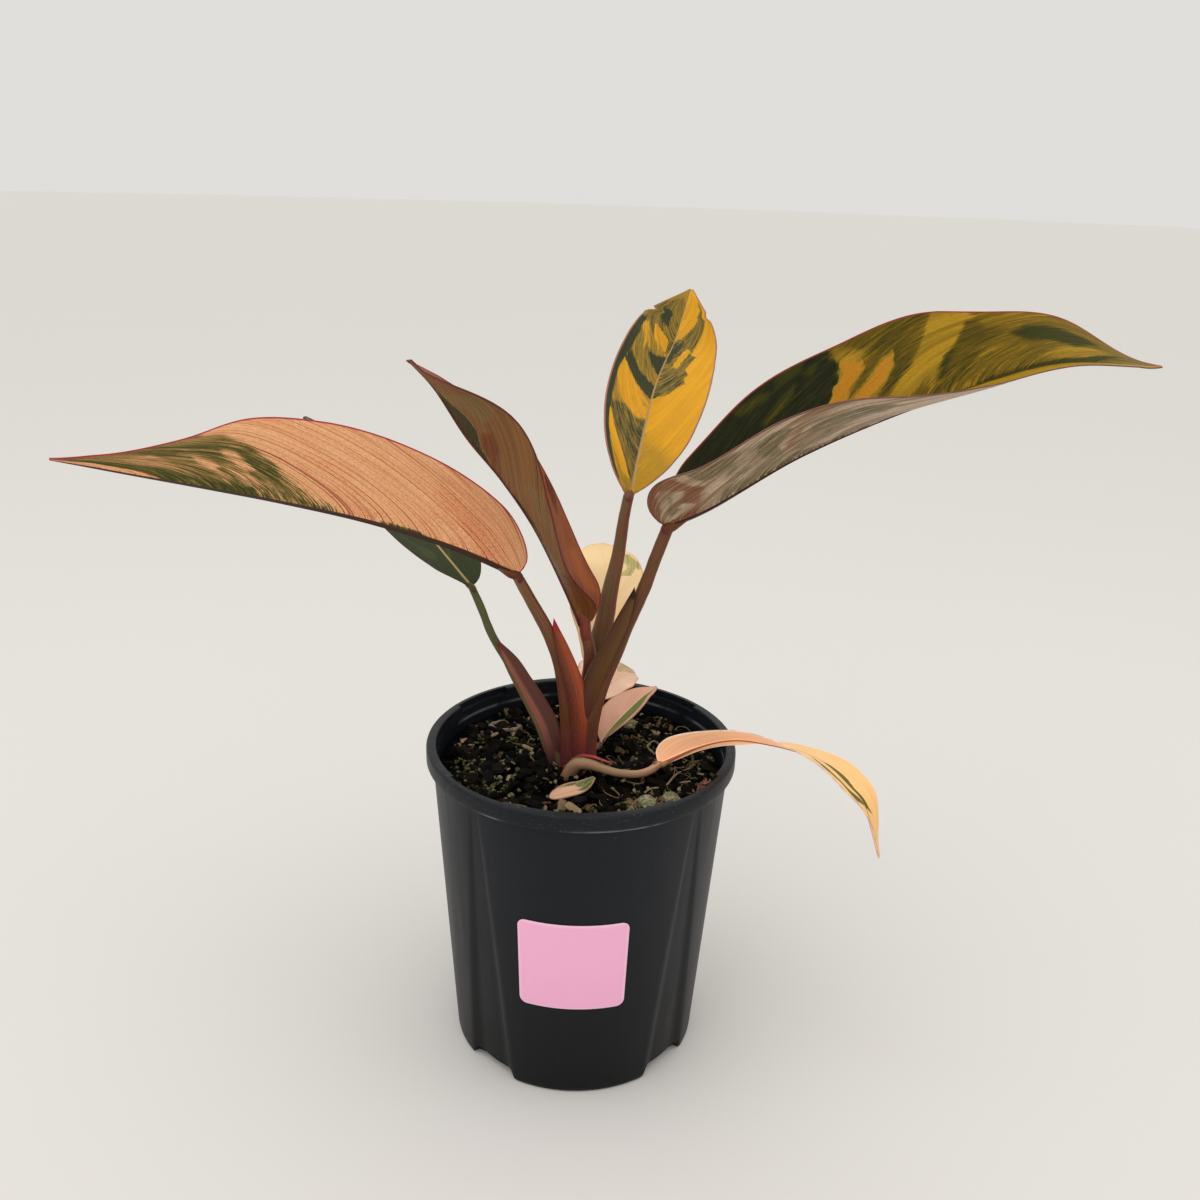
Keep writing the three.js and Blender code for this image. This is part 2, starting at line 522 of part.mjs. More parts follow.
// The plant: each leaf's stalk from crown to blade, and its blade from base to tip.
const LEAVES = {
  left: {
    stalk: {
      points: [[-3, -9, 138], [-4, -9, 157], [-6.5, -10, 175], [-10, -11, 191], [-15.5, -12, 206],
        [-22.5, -13, 219.5], [-29, -14, 232]],
      face: [[0, -0.9, 0.4], [0, -0.9, 0.4]],
      halfWidths: [6.4, 5.6, 4.5, 3.5, 2.9, 2.6, 2.2],
      halfDepths: [6, 5.6, 4.6, 3.6, 2.9, 2.5, 2.2],
      sheaths: [{
        points: [[3, -10.5, 150], [1.5, -11.5, 165], [-1, -12.5, 177], [-4.5, -12.5, 188],
          [-8.5, -12.5, 199], [-13, -12.5, 210]],
        face: [[0, -0.9, 0.4], [0, -0.9, 0.4]],
        halfWidths: [3.6, 3.4, 3, 2.6, 2.1, 1],
        halfDepths: [3.2, 2.6, 2.2, 1.8, 1.5, 0.7],
      }],
    },
    blade: {
      rows: 15,
      rib: 1.6,
      points: [[-29, -14, 233], [-56, -16, 245], [-90, -16, 255], [-126, -12, 261],
        [-158, -8, 265], [-192, -4, 269], [-225, 0, 273]],
      face: [[0, 0.5, 0.85], [0, 0.55, 0.85], [0, 0.55, 0.85], [0, 0.6, 0.85], [0, 0.7, 0.8]],
      left: {
        widths: [14, 28, 34.6, 37.4, 33.6, 19.4, 7.9, 0.7],
        fold: [48, 51, 43, 41, 50], curl: [15, 15, 15, 10, 0], lobe: 9.4,
      },
      right: {
        widths: [14, 28, 34.6, 37.4, 33.6, 19.4, 7.9, 0.7],
        fold: [50, 50, 50, 50, 50], curl: [10, 10, 10, 10, 0], lobe: 9,
      },
    },
    stalkColor: '#7b4a34',
    bladeColor: '#d98f63',
  },
  right: {
    stalk: {
      points: [[2, -11, 137], [2.5, -11, 152], [4, -11, 167], [8, -10, 182], [13.5, -9, 196],
        [19, -7, 210], [25, -4.5, 224], [30, -1, 238], [34.5, 2, 250]],
      face: [[0, -0.9, 0.4], [0, -0.9, 0.4]],
      halfWidths: [4.6, 4.4, 4.2, 3.9, 3.5, 3.1, 2.9, 2.7, 2.7],
      halfDepths: [5, 5, 4.6, 4.2, 3.6, 3.1, 2.8, 2.6, 2.6],
      sheaths: [{
        points: [[-1, -11.5, 158], [0.5, -12, 172], [4, -12, 185], [9.5, -11, 198],
          [15, -9.5, 210], [21, -7.5, 224.5]],
        face: [[0, -0.9, 0.4], [0, -0.9, 0.4]],
        halfWidths: [3.4, 3.6, 3.4, 3, 2.4, 1],
        halfDepths: [3, 2.8, 2.4, 2, 1.6, 0.7],
      }],
    },
    blade: {
      rows: 16,
      rib: 1.6,
      points: [[33, 2, 251], [52, 2, 260], [87, 4, 282], [122, 6, 299], [154, 8, 311],
        [194, 10, 323], [238, 12, 323]],
      face: [[0, -0.1, 1], [0, -0.1, 1], [0, -0.17, 0.98], [0, -0.3, 0.95], [0, -0.3, 0.95]],
      left: {
        widths: [16, 25.3, 33.7, 35.4, 36.1, 26.8, 17.7, 0.6],
        fold: [53, 60, 58, 47, -11], curl: [10, 10, 10, 10, 0], lobe: 2,
      },
      right: {
        widths: [32, 25.7, 32.3, 42.6, 36.5, 24.2, 12.2, 0.6],
        fold: [58, 46, 21, 22, 17], curl: [20, 20, 20, 10, 0], lobe: 13.6,
      },
    },
    stalkColor: '#4b2f29',
    bladeColor: '#5f6a2c',
  },
  upright: {
    stalk: {
      points: [[0, -2, 138], [1, 0, 154], [3, 2, 173], [6, 5, 191], [9, 8, 205], [11, 11, 218],
        [14, 16, 232], [16, 21, 247], [18, 26, 257]],
      face: [[0, -0.9, 0.4], [0, -0.9, 0.4]],
      halfWidths: [5, 5, 4.8, 4.8, 4.4, 3.8, 3.1, 2.6, 2.4],
      halfDepths: [5, 4.6, 4.2, 4, 3.4, 3, 2.7, 2.4, 2.3],
      sheaths: [],
    },
    blade: {
      rows: 12,
      rib: 1.4,
      points: [[19, 26, 258], [23, 44, 274], [29, 66, 296], [34, 76, 308], [39, 83, 318],
        [46, 92, 341]],
      face: [[0, -0.8, 0.5], [0, -0.8, 0.5], [0, -0.8, 0.5], [0, -0.8, 0.5], [-0.1, -0.8, 0.6]],
      left: {
        widths: [6, 17.2, 22, 23.6, 23.1, 18.8, 0.6],
        fold: [30, 22, 24, 3], curl: [10, 10, 10, 10], lobe: 4.6,
        nicks: [[0.868, 0.012, 0.17], [0.85, 0.006, -0.1]],
      },
      right: {
        widths: [10.7, 22.7, 27.5, 29, 26.5, 19.5, 1.3],
        fold: [34, 27, 26, 28], curl: [10, 10, 10, 10], lobe: 0.2,
        nicks: [[0.885, 0.014, 0.16]],
      },
    },
    stalkColor: '#4d4528',
    bladeColor: '#b99a2f',
  },
  rolled: {
    stalk: {
      points: [[-1, -3, 138], [0.5, -2.5, 152], [1.5, -2, 170], [2.5, -3, 184], [2.5, -5, 195],
        [0.5, -6, 204]],
      face: [[0, -0.9, 0.4], [0, -0.9, 0.4]],
      halfWidths: [3.8, 3.4, 3, 2.9, 2.8, 2.6],
      halfDepths: [3.8, 3.4, 3, 2.8, 2.6, 2.4],
      sheaths: [],
    },
    blade: {
      rows: 16,
      rib: 1.4,
      points: [[0, -6, 205], [-7, -12, 224], [-20, -24, 255], [-33, -34, 278], [-46, -44, 297],
        [-57, -50, 316], [-66, -54, 327]],
      face: [[0.95, 0.2, 0.3], [0.95, 0.3, 0.3], [0.85, 0.5, 0.3], [0.6, 0.75, 0.3],
        [0.5, 0.8, 0.4]],
      left: {
        widths: [8.5, 12, 13.5, 16.3, 19.2, 19.9, 14.7, 1.7],
        fold: [52, -11, -1, 21, -43], curl: [50, 50, 40, 30, 10], lobe: -6.2,
      },
      right: {
        widths: [17.5, 17, 20.1, 22.7, 24.5, 22.7, 13.6, 2],
        fold: [52, 36, 45, 64, 41], curl: [20, 20, 20, 20, 10], lobe: -1,
      },
    },
    stalkColor: '#6b3230',
    bladeColor: '#8a5a3c',
  },
  lower_left: {
    stalk: {
      points: [[-8, -8, 139], [-13, -4, 149], [-19, 0, 161], [-26, 5, 171], [-34, 10, 182],
        [-42, 14, 194], [-47, 18, 205], [-51.5, 21.5, 213.5]],
      face: [[0, -0.8, 0.6], [0, -0.8, 0.6]],
      halfWidths: [3, 3, 2.8, 2.5, 2.1, 1.9, 1.8, 1.7],
      halfDepths: [3, 3, 2.8, 2.5, 2.1, 1.9, 1.8, 1.7],
      sheaths: [{
        points: [[-9, -9, 140], [-12.5, -7.5, 149.5], [-16, -4.5, 159], [-21.5, -1, 168],
          [-27, 2.5, 176], [-32.5, 6, 184], [-38.5, 9.5, 191.5]],
        face: [[0, -0.8, 0.6], [0, -0.8, 0.6]],
        halfWidths: [4, 4.8, 5.2, 4.8, 4.2, 3.4, 1],
        halfDepths: [2.8, 2.8, 2.6, 2.4, 2.1, 1.7, 0.7],
      }],
    },
    blade: {
      rows: 10,
      rib: 1.2,
      points: [[-52, 22, 214], [-70, 34, 231], [-92, 48, 252], [-115, 62, 267], [-135, 72, 279]],
      face: [[0.2, -0.3, 0.9], [0.2, -0.3, 0.9]],
      left: {
        widths: [10.4, 19.1, 21.8, 19, 11.3, 1.1],
        fold: [20, 8, 3, 15], curl: [10, 10, 10, 10], lobe: -5.4,
      },
      right: {
        widths: [9.8, 15.5, 13.6, 11.4, 7.3, 0.6],
        fold: [15, 16, 18, 15], curl: [10, 10, 10, 10], lobe: 2.1,
      },
    },
    stalkColor: '#59552f',
    bladeColor: '#2f4a2c',
  },
  drooping: {
    stalk: {
      points: [[-6, -16, 138], [-2, -18, 146], [3, -19, 147], [9, -20, 145.5], [16, -22, 144.5],
        [24, -22, 144], [30, -20, 144.5], [34.5, -14.5, 145]],
      face: [[0, 0.3, 1], [0, 0.3, 1]],
      halfWidths: [3.4, 3.4, 3, 2.4, 2, 1.9, 1.9, 1.8],
      halfDepths: [3.4, 3.2, 2.8, 2.2, 1.9, 1.8, 1.8, 1.8],
      sheaths: [{
        points: [[-2, -17, 149], [3, -17.5, 150.5], [9, -18, 149.5], [14.5, -19, 148.5]],
        face: [[0, 0.3, 1], [0, 0.3, 1]],
        halfWidths: [2, 2, 1.6, 0.5],
        halfDepths: [1.4, 1.2, 0.9, 0.6],
      }],
    },
    blade: {
      rows: 15,
      rib: 1.1,
      points: [[35, -14, 145], [52, -15, 155], [67, -19, 161], [83, -25, 162], [96, -31, 161],
        [105, -36, 158], [114, -41, 151], [121, -45, 143], [128, -50, 122]],
      face: [[0, 0.85, 0.5], [0, 0.85, 0.5], [0.1, 0.7, 0.7], [0.5, 0.2, 0.8], [0.75, -0.2, 0.6],
        [0.9, -0.3, 0.3]],
      left: {
        widths: [3.8, 3, 4.7, 11.4, 14.2, 14.2, 10.7, 5.6, 1.6],
        fold: [21, -9, 16, 9, 29, 15], curl: [10, 10, 10, 10, 0], lobe: -3,
      },
      right: {
        widths: [10.4, 10, 9.4, 9.9, 11.1, 10.1, 8.8, 5.1, 0.6],
        fold: [36, -3, -10, -11, 1, 45], curl: [10, 10, 10, 10, 0], lobe: 1.5,
      },
    },
    stalkColor: '#8a7a4a',
    bladeColor: '#e0a468',
  },
  back: {
    stalk: {
      points: [[0, 4, 138], [1.5, 14, 144], [3, 26, 152], [4, 35, 160], [4, 40, 166.5]],
      face: [[0, -0.9, 0.4], [0, -0.9, 0.4]],
      halfWidths: [2.6, 2.2, 1.8, 1.6, 1.5],
      halfDepths: [2.4, 2, 1.7, 1.5, 1.4],
      sheaths: [],
    },
    blade: {
      rows: 9,
      rib: 1,
      points: [[4, 40, 167], [6, 42, 181], [8, 47, 197], [9, 54, 213], [7, 64, 223]],
      face: [[-0.05, -0.85, 0.4], [-0.05, -0.85, 0.4]],
      left: {
        widths: [4, 9.3, 16.6, 16.9, 11], blunt: 0.16,
        fold: [-2, 9, 34, 23], curl: [5, 5, 5, 5], lobe: 0,
      },
      right: {
        widths: [4, 9.6, 16.2, 18.3, 9], blunt: 0.16,
        fold: [11, 11, 1, -22], curl: [5, 5, 5, 5], lobe: 0,
      },
    },
    stalkColor: '#a98a6a',
    bladeColor: '#f0d2a0',
  },
  low_right: {
    stalk: {
      points: [[2, 0, 138], [5, 4, 140.5], [8.5, 9, 142]],
      face: [[0, -0.5, 0.8], [0, -0.5, 0.8]],
      halfWidths: [1.6, 1.5, 1.4],
      halfDepths: [1.6, 1.5, 1.4],
      sheaths: [],
    },
    blade: {
      rows: 8,
      rib: 0.9,
      points: [[9, 10, 143], [14, 14, 149], [21, 19, 155], [28, 24, 160], [35, 30, 163]],
      face: [[-0.3, -0.5, 0.8], [-0.3, -0.5, 0.8], [-0.3, -0.5, 0.8], [-0.2, -0.4, 0.9]],
      left: {
        widths: [3, 8.8, 9.6, 6.3, 0.6],
        fold: [13, 19, 10, 16], curl: [10, 10, 10, 10], lobe: -1.1,
      },
      right: {
        widths: [8.5, 9, 7.8, 5.5, 0.6],
        fold: [53, 30, 23, 44], curl: [10, 10, 10, 10], lobe: 0,
      },
    },
    stalkColor: '#9a5a55',
    bladeColor: '#dba08c',
  },
  low_back: {
    stalk: {
      points: [[0, 7, 138], [2, 18, 142], [4, 30, 146], [5, 35.5, 148.5]],
      face: [[0, -0.7, 0.7], [0, -0.7, 0.7]],
      halfWidths: [2, 1.7, 1.5, 1.4],
      halfDepths: [2, 1.7, 1.5, 1.4],
      sheaths: [],
    },
    blade: {
      rows: 8,
      rib: 0.9,
      points: [[5, 36, 149], [7, 40, 152], [12, 45, 155], [18, 50, 158], [26, 56, 158]],
      face: [[-0.2, -0.75, 0.6], [-0.2, -0.75, 0.6]],
      left: {
        widths: [4.1, 15.4, 19.3, 11, 2], fold: [19, 4, -8, 0], curl: [5, 5, 5, 5], lobe: 0.5,
      },
      right: {
        widths: [3.6, 7, 9.1, 7.9, 2.9], fold: [30, 24, 19, 5], curl: [5, 5, 5, 5], lobe: -2.1,
      },
    },
    stalkColor: '#a0806a',
    bladeColor: '#ddb9a0',
  },
};

// Crown: the short stem that every stalk grows from.
function crownSolid(extra = 0) {
  const radius = CROWN_RADIUS + extra;
  const foot = CROWN_FOOT - extra;
  const top = CROWN_TOP + extra;
  const crown = turned([
    [0, foot], [radius * 0.7, foot], [radius, foot + CROWN_RADIUS],
    [radius * 0.9, top - CROWN_RADIUS / 2], [radius * 0.5, top - 1], [0, top],
  ], CROWN_STEPS);
  return crown.translate([...CROWN_PLACE, 0]);
}

function makePlant() {
  let taken = crownSolid(GAP);
  show('crown', crownSolid(), '#6a3030', 0.6);
  for (const [name, leaf] of Object.entries(LEAVES)) {
    const stalk = largestPiece(stalkWithSheath(leaf.stalk).subtract(taken));
    const room = stalkWithSheath(leaf.stalk, GAP);
    const blade = largestPiece(bladeSolid(leaf.blade).subtract(room).subtract(taken));
    show(`stalk_${name}`, stalk, leaf.stalkColor, 0.5);
    show(`blade_${name}`, blade, leaf.bladeColor, 0.45);
    taken = taken.add(room).add(bladeSolid(leaf.blade, GAP));
  }
  return taken;
}

// A place on the mix, lifted by the given height.
function onMix(x, y, lift) {
  return [x, y, mixHeight(x, y) + lift];
}

function lumpSolid({ place, size, squash }, extra) {
  const lump = new THREE.IcosahedronGeometry(1, 1);
  const [wide, deep, high] = squash.map((share) => size * share + extra);
  lump.scale(wide, deep, high);
  lump.translate(...onMix(...place));
  return toSolid(lump);
}

function threadSolid({ places, radius }, extra) {
  const widths = places.map(() => radius);
  return stalkSolid({
    points: places.map((place) => onMix(...place)), face: [[0, 0, 1], [0, 0, 1]],
    halfWidths: widths, halfDepths: widths,
  }, extra);
}

function ringSolid({ place, radius, tube }, extra) {
  const ring = new THREE.TorusGeometry(radius, tube + extra, 6, 14);
  ring.scale(1.25, 0.8, 1);
  ring.translate(...onMix(...place));
  return toSolid(ring);
}

// What lies loose on the mix: a fallen leaf scrap, a bark ring, pale lumps, a husk and roots.
const LITTER = {
  leaf_scrap: {
    color: '#d9b79a',
    make: (extra) => bladeSolid({
      rows: 6,
      rib: 0.5,
      points: [onMix(-13, -38, 1.5), onMix(-7, -36, 2), onMix(0, -33, 2.4), onMix(6, -24, 3.6)],
      face: [[0, -0.4, 0.9], [0, -0.3, 0.9]],
      left: { widths: [2, 4, 4.4, 3, 0.8], fold: [15, 10, 10], curl: [10, 10, 10], lobe: 0 },
      right: { widths: [1.5, 3, 3.2, 2.6, 0.8], fold: [20, 25, 20], curl: [10, 10, 10], lobe: 0 },
    }, extra),
  },
  bark_ring: {
    color: '#b9a894',
    make: (extra) => ringSolid({ place: [-37, 33, 1], radius: 5.5, tube: 1.1 }, extra),
  },
  bark_chip: {
    color: '#a98658',
    make: (extra) => lumpSolid({ place: [-54, 15, 1], size: 4, squash: [1.3, 0.8, 0.5] }, extra),
  },
  pale_lump_back: {
    color: '#b7b09a',
    make: (extra) => lumpSolid({ place: [25, 33, 1.5], size: 4.5, squash: [1.1, 0.9, 0.8] }, extra),
  },
  pale_lump_front: {
    color: '#a9a284',
    make: (extra) => lumpSolid({ place: [29, -40, 1.5], size: 4.2, squash: [1, 1, 0.8] }, extra),
  },
  pale_lump_side: {
    color: '#8f8d6a',
    make: (extra) => lumpSolid({ place: [39, -36, 1.4], size: 4, squash: [1, 0.9, 0.8] }, extra),
  },
  husk: {
    color: '#6e4634',
    make: (extra) => threadSolid({
      places: [[47, -33, 1.2], [51, -28, 1.6], [54, -22, 1.4], [57, -16, 1.1]], radius: 1.7,
    }, extra),
  },
  root_long: {
    color: '#9c8763',
    make: (extra) => threadSolid({
      places: [[20, -46, 1], [29, -31, 2.2], [37, -26, 3], [43, -15, 2.4], [50, -6, 1.6]],
      radius: 0.6,
    }, extra),
  },
  root_curl: {
    color: '#a38f6c',
    make: (extra) => threadSolid({
      places: [[34, 6, 1], [31, 11, 2.2], [34, 16, 3], [38, 13, 1.8], [43, 12, 1]], radius: 0.6,
    }, extra),
  },
};

function makeLitter(mix, plantRoom) {
  let room = mix;
  for (const [name, { make, color }] of Object.entries(LITTER)) {
    show(name, largestPiece(make(0).subtract(plantRoom)), color, 0.8);
    room = room.subtract(make(GAP));
  }
  return room;
}

show('pot', makePot(), '#1d1f22', 0.4);
show('label', makeLabel(), '#eda9cf', 0.5);
const plantRoom = makePlant();
const mix = makeLitter(withChips(makeMix()).subtract(plantRoom), plantRoom);
show('potting_mix', largestPiece(mix), '#26231c', 0.95);

export default group;
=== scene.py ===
"""A young variegated philodendron in a black nursery pot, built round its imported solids."""
import math
import random

import bpy
import numpy as np
from bpy.props import FloatProperty, FloatVectorProperty, IntProperty, PointerProperty
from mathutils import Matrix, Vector, noise


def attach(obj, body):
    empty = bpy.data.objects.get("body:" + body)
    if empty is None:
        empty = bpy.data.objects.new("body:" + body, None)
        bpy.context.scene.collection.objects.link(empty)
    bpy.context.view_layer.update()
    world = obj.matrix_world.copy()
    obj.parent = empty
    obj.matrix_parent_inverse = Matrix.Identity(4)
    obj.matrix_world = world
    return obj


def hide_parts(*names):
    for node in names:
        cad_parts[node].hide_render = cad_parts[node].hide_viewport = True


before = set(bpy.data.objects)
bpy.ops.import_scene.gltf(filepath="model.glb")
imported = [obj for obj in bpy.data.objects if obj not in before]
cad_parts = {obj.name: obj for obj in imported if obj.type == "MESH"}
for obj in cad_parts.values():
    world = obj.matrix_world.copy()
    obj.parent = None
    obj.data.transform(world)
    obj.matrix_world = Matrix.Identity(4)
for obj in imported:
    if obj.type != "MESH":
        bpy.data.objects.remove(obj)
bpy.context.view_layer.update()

bl_info = {
    "name": "Potted variegated philodendron",
    "version": (1, 0, 0),
    "blender": (4, 5, 0),
    "location": "3D view > Sidebar > Plant",
    "description": "A young philodendron with variegated leaves in a black nursery pot",
    "category": "Add Mesh",
}

MM = 0.001  # the sizes below are in millimetres, as in the part's source
GAP = 0.35  # what the solids keep between them
NOISE_SEED = 5  # without a seed the noise would differ each time Blender is started

# Blade sections
BASE_ROUNDING = 0.1  # share of the length over which the base rounds out
LOBE_FADE = 0.08  # share of the length over which a lobe dies out
FLAT_WIDTH = 5.0  # a half narrower than this folds and curls less
LEAST_WIDTH = 0.6
ROW_BIAS = 1.35  # rows stand closer together near the stalk
RIB_COLUMNS = 4  # columns of the mesh on each side of the midrib
RIB_REACH = 0.8  # how far the midrib reaches into a half, as a share of its height
RIB_TAPER = 0.85  # share of the midrib lost by the tip
VEIN_BEND = 1.5  # how the side veins turn towards the tip
VEIN_REACH = 0.4  # share of the length that a side vein runs forward to the margin
PLEAT_SPACING = 10.4
PLEAT_WIDTH = 20.0  # a half narrower than this has lower pleats
STREAK_SLANT = 0.35  # how far the streaks shift outwards towards the tip
NO_GREEN = -0.6  # how green a blade is where nothing is painted

# Mix
MIX_LEVEL = 139.0
MIX_SWELL = 0.8
MIX_MOUND = 3.0
MOUND_SPREAD = 18.0
MIX_SLOPE = 1.9
MIX_TURN_RADIUS = 67.1
MIX_RADIUS = 63.4
CROWN_PLACE = (-3.0, -6.0)
SCRAP_PLACE = (-3.5, -32.0)
SCRAP_REACH = (12.0, 8.0)


def half(widths, fold, curl, lobe, blunt=0.0, nicks=()):
    """One half of a blade: widths, fold and curl from base to tip, lobe, and nicks.

    A nick is (middle, reach, depth) in shares of the length and of the width.
    """
    return {
        "widths": widths, "fold": fold, "curl": curl, "lobe": lobe, "blunt": blunt,
        "nicks": nicks,
    }


def stem(points, half_widths, half_depths, face=(0, -0.9, 0.4), hook=0.0):
    """A stalk or sheath: its middle's route, half sizes, facing and the hook at its tip.

    The hook is how many mm one side of the tip is drawn on, and the other side held back.
    """
    return {
        "points": points, "face": [face, face], "half_widths": half_widths,
        "half_depths": half_depths, "hook": hook,
    }


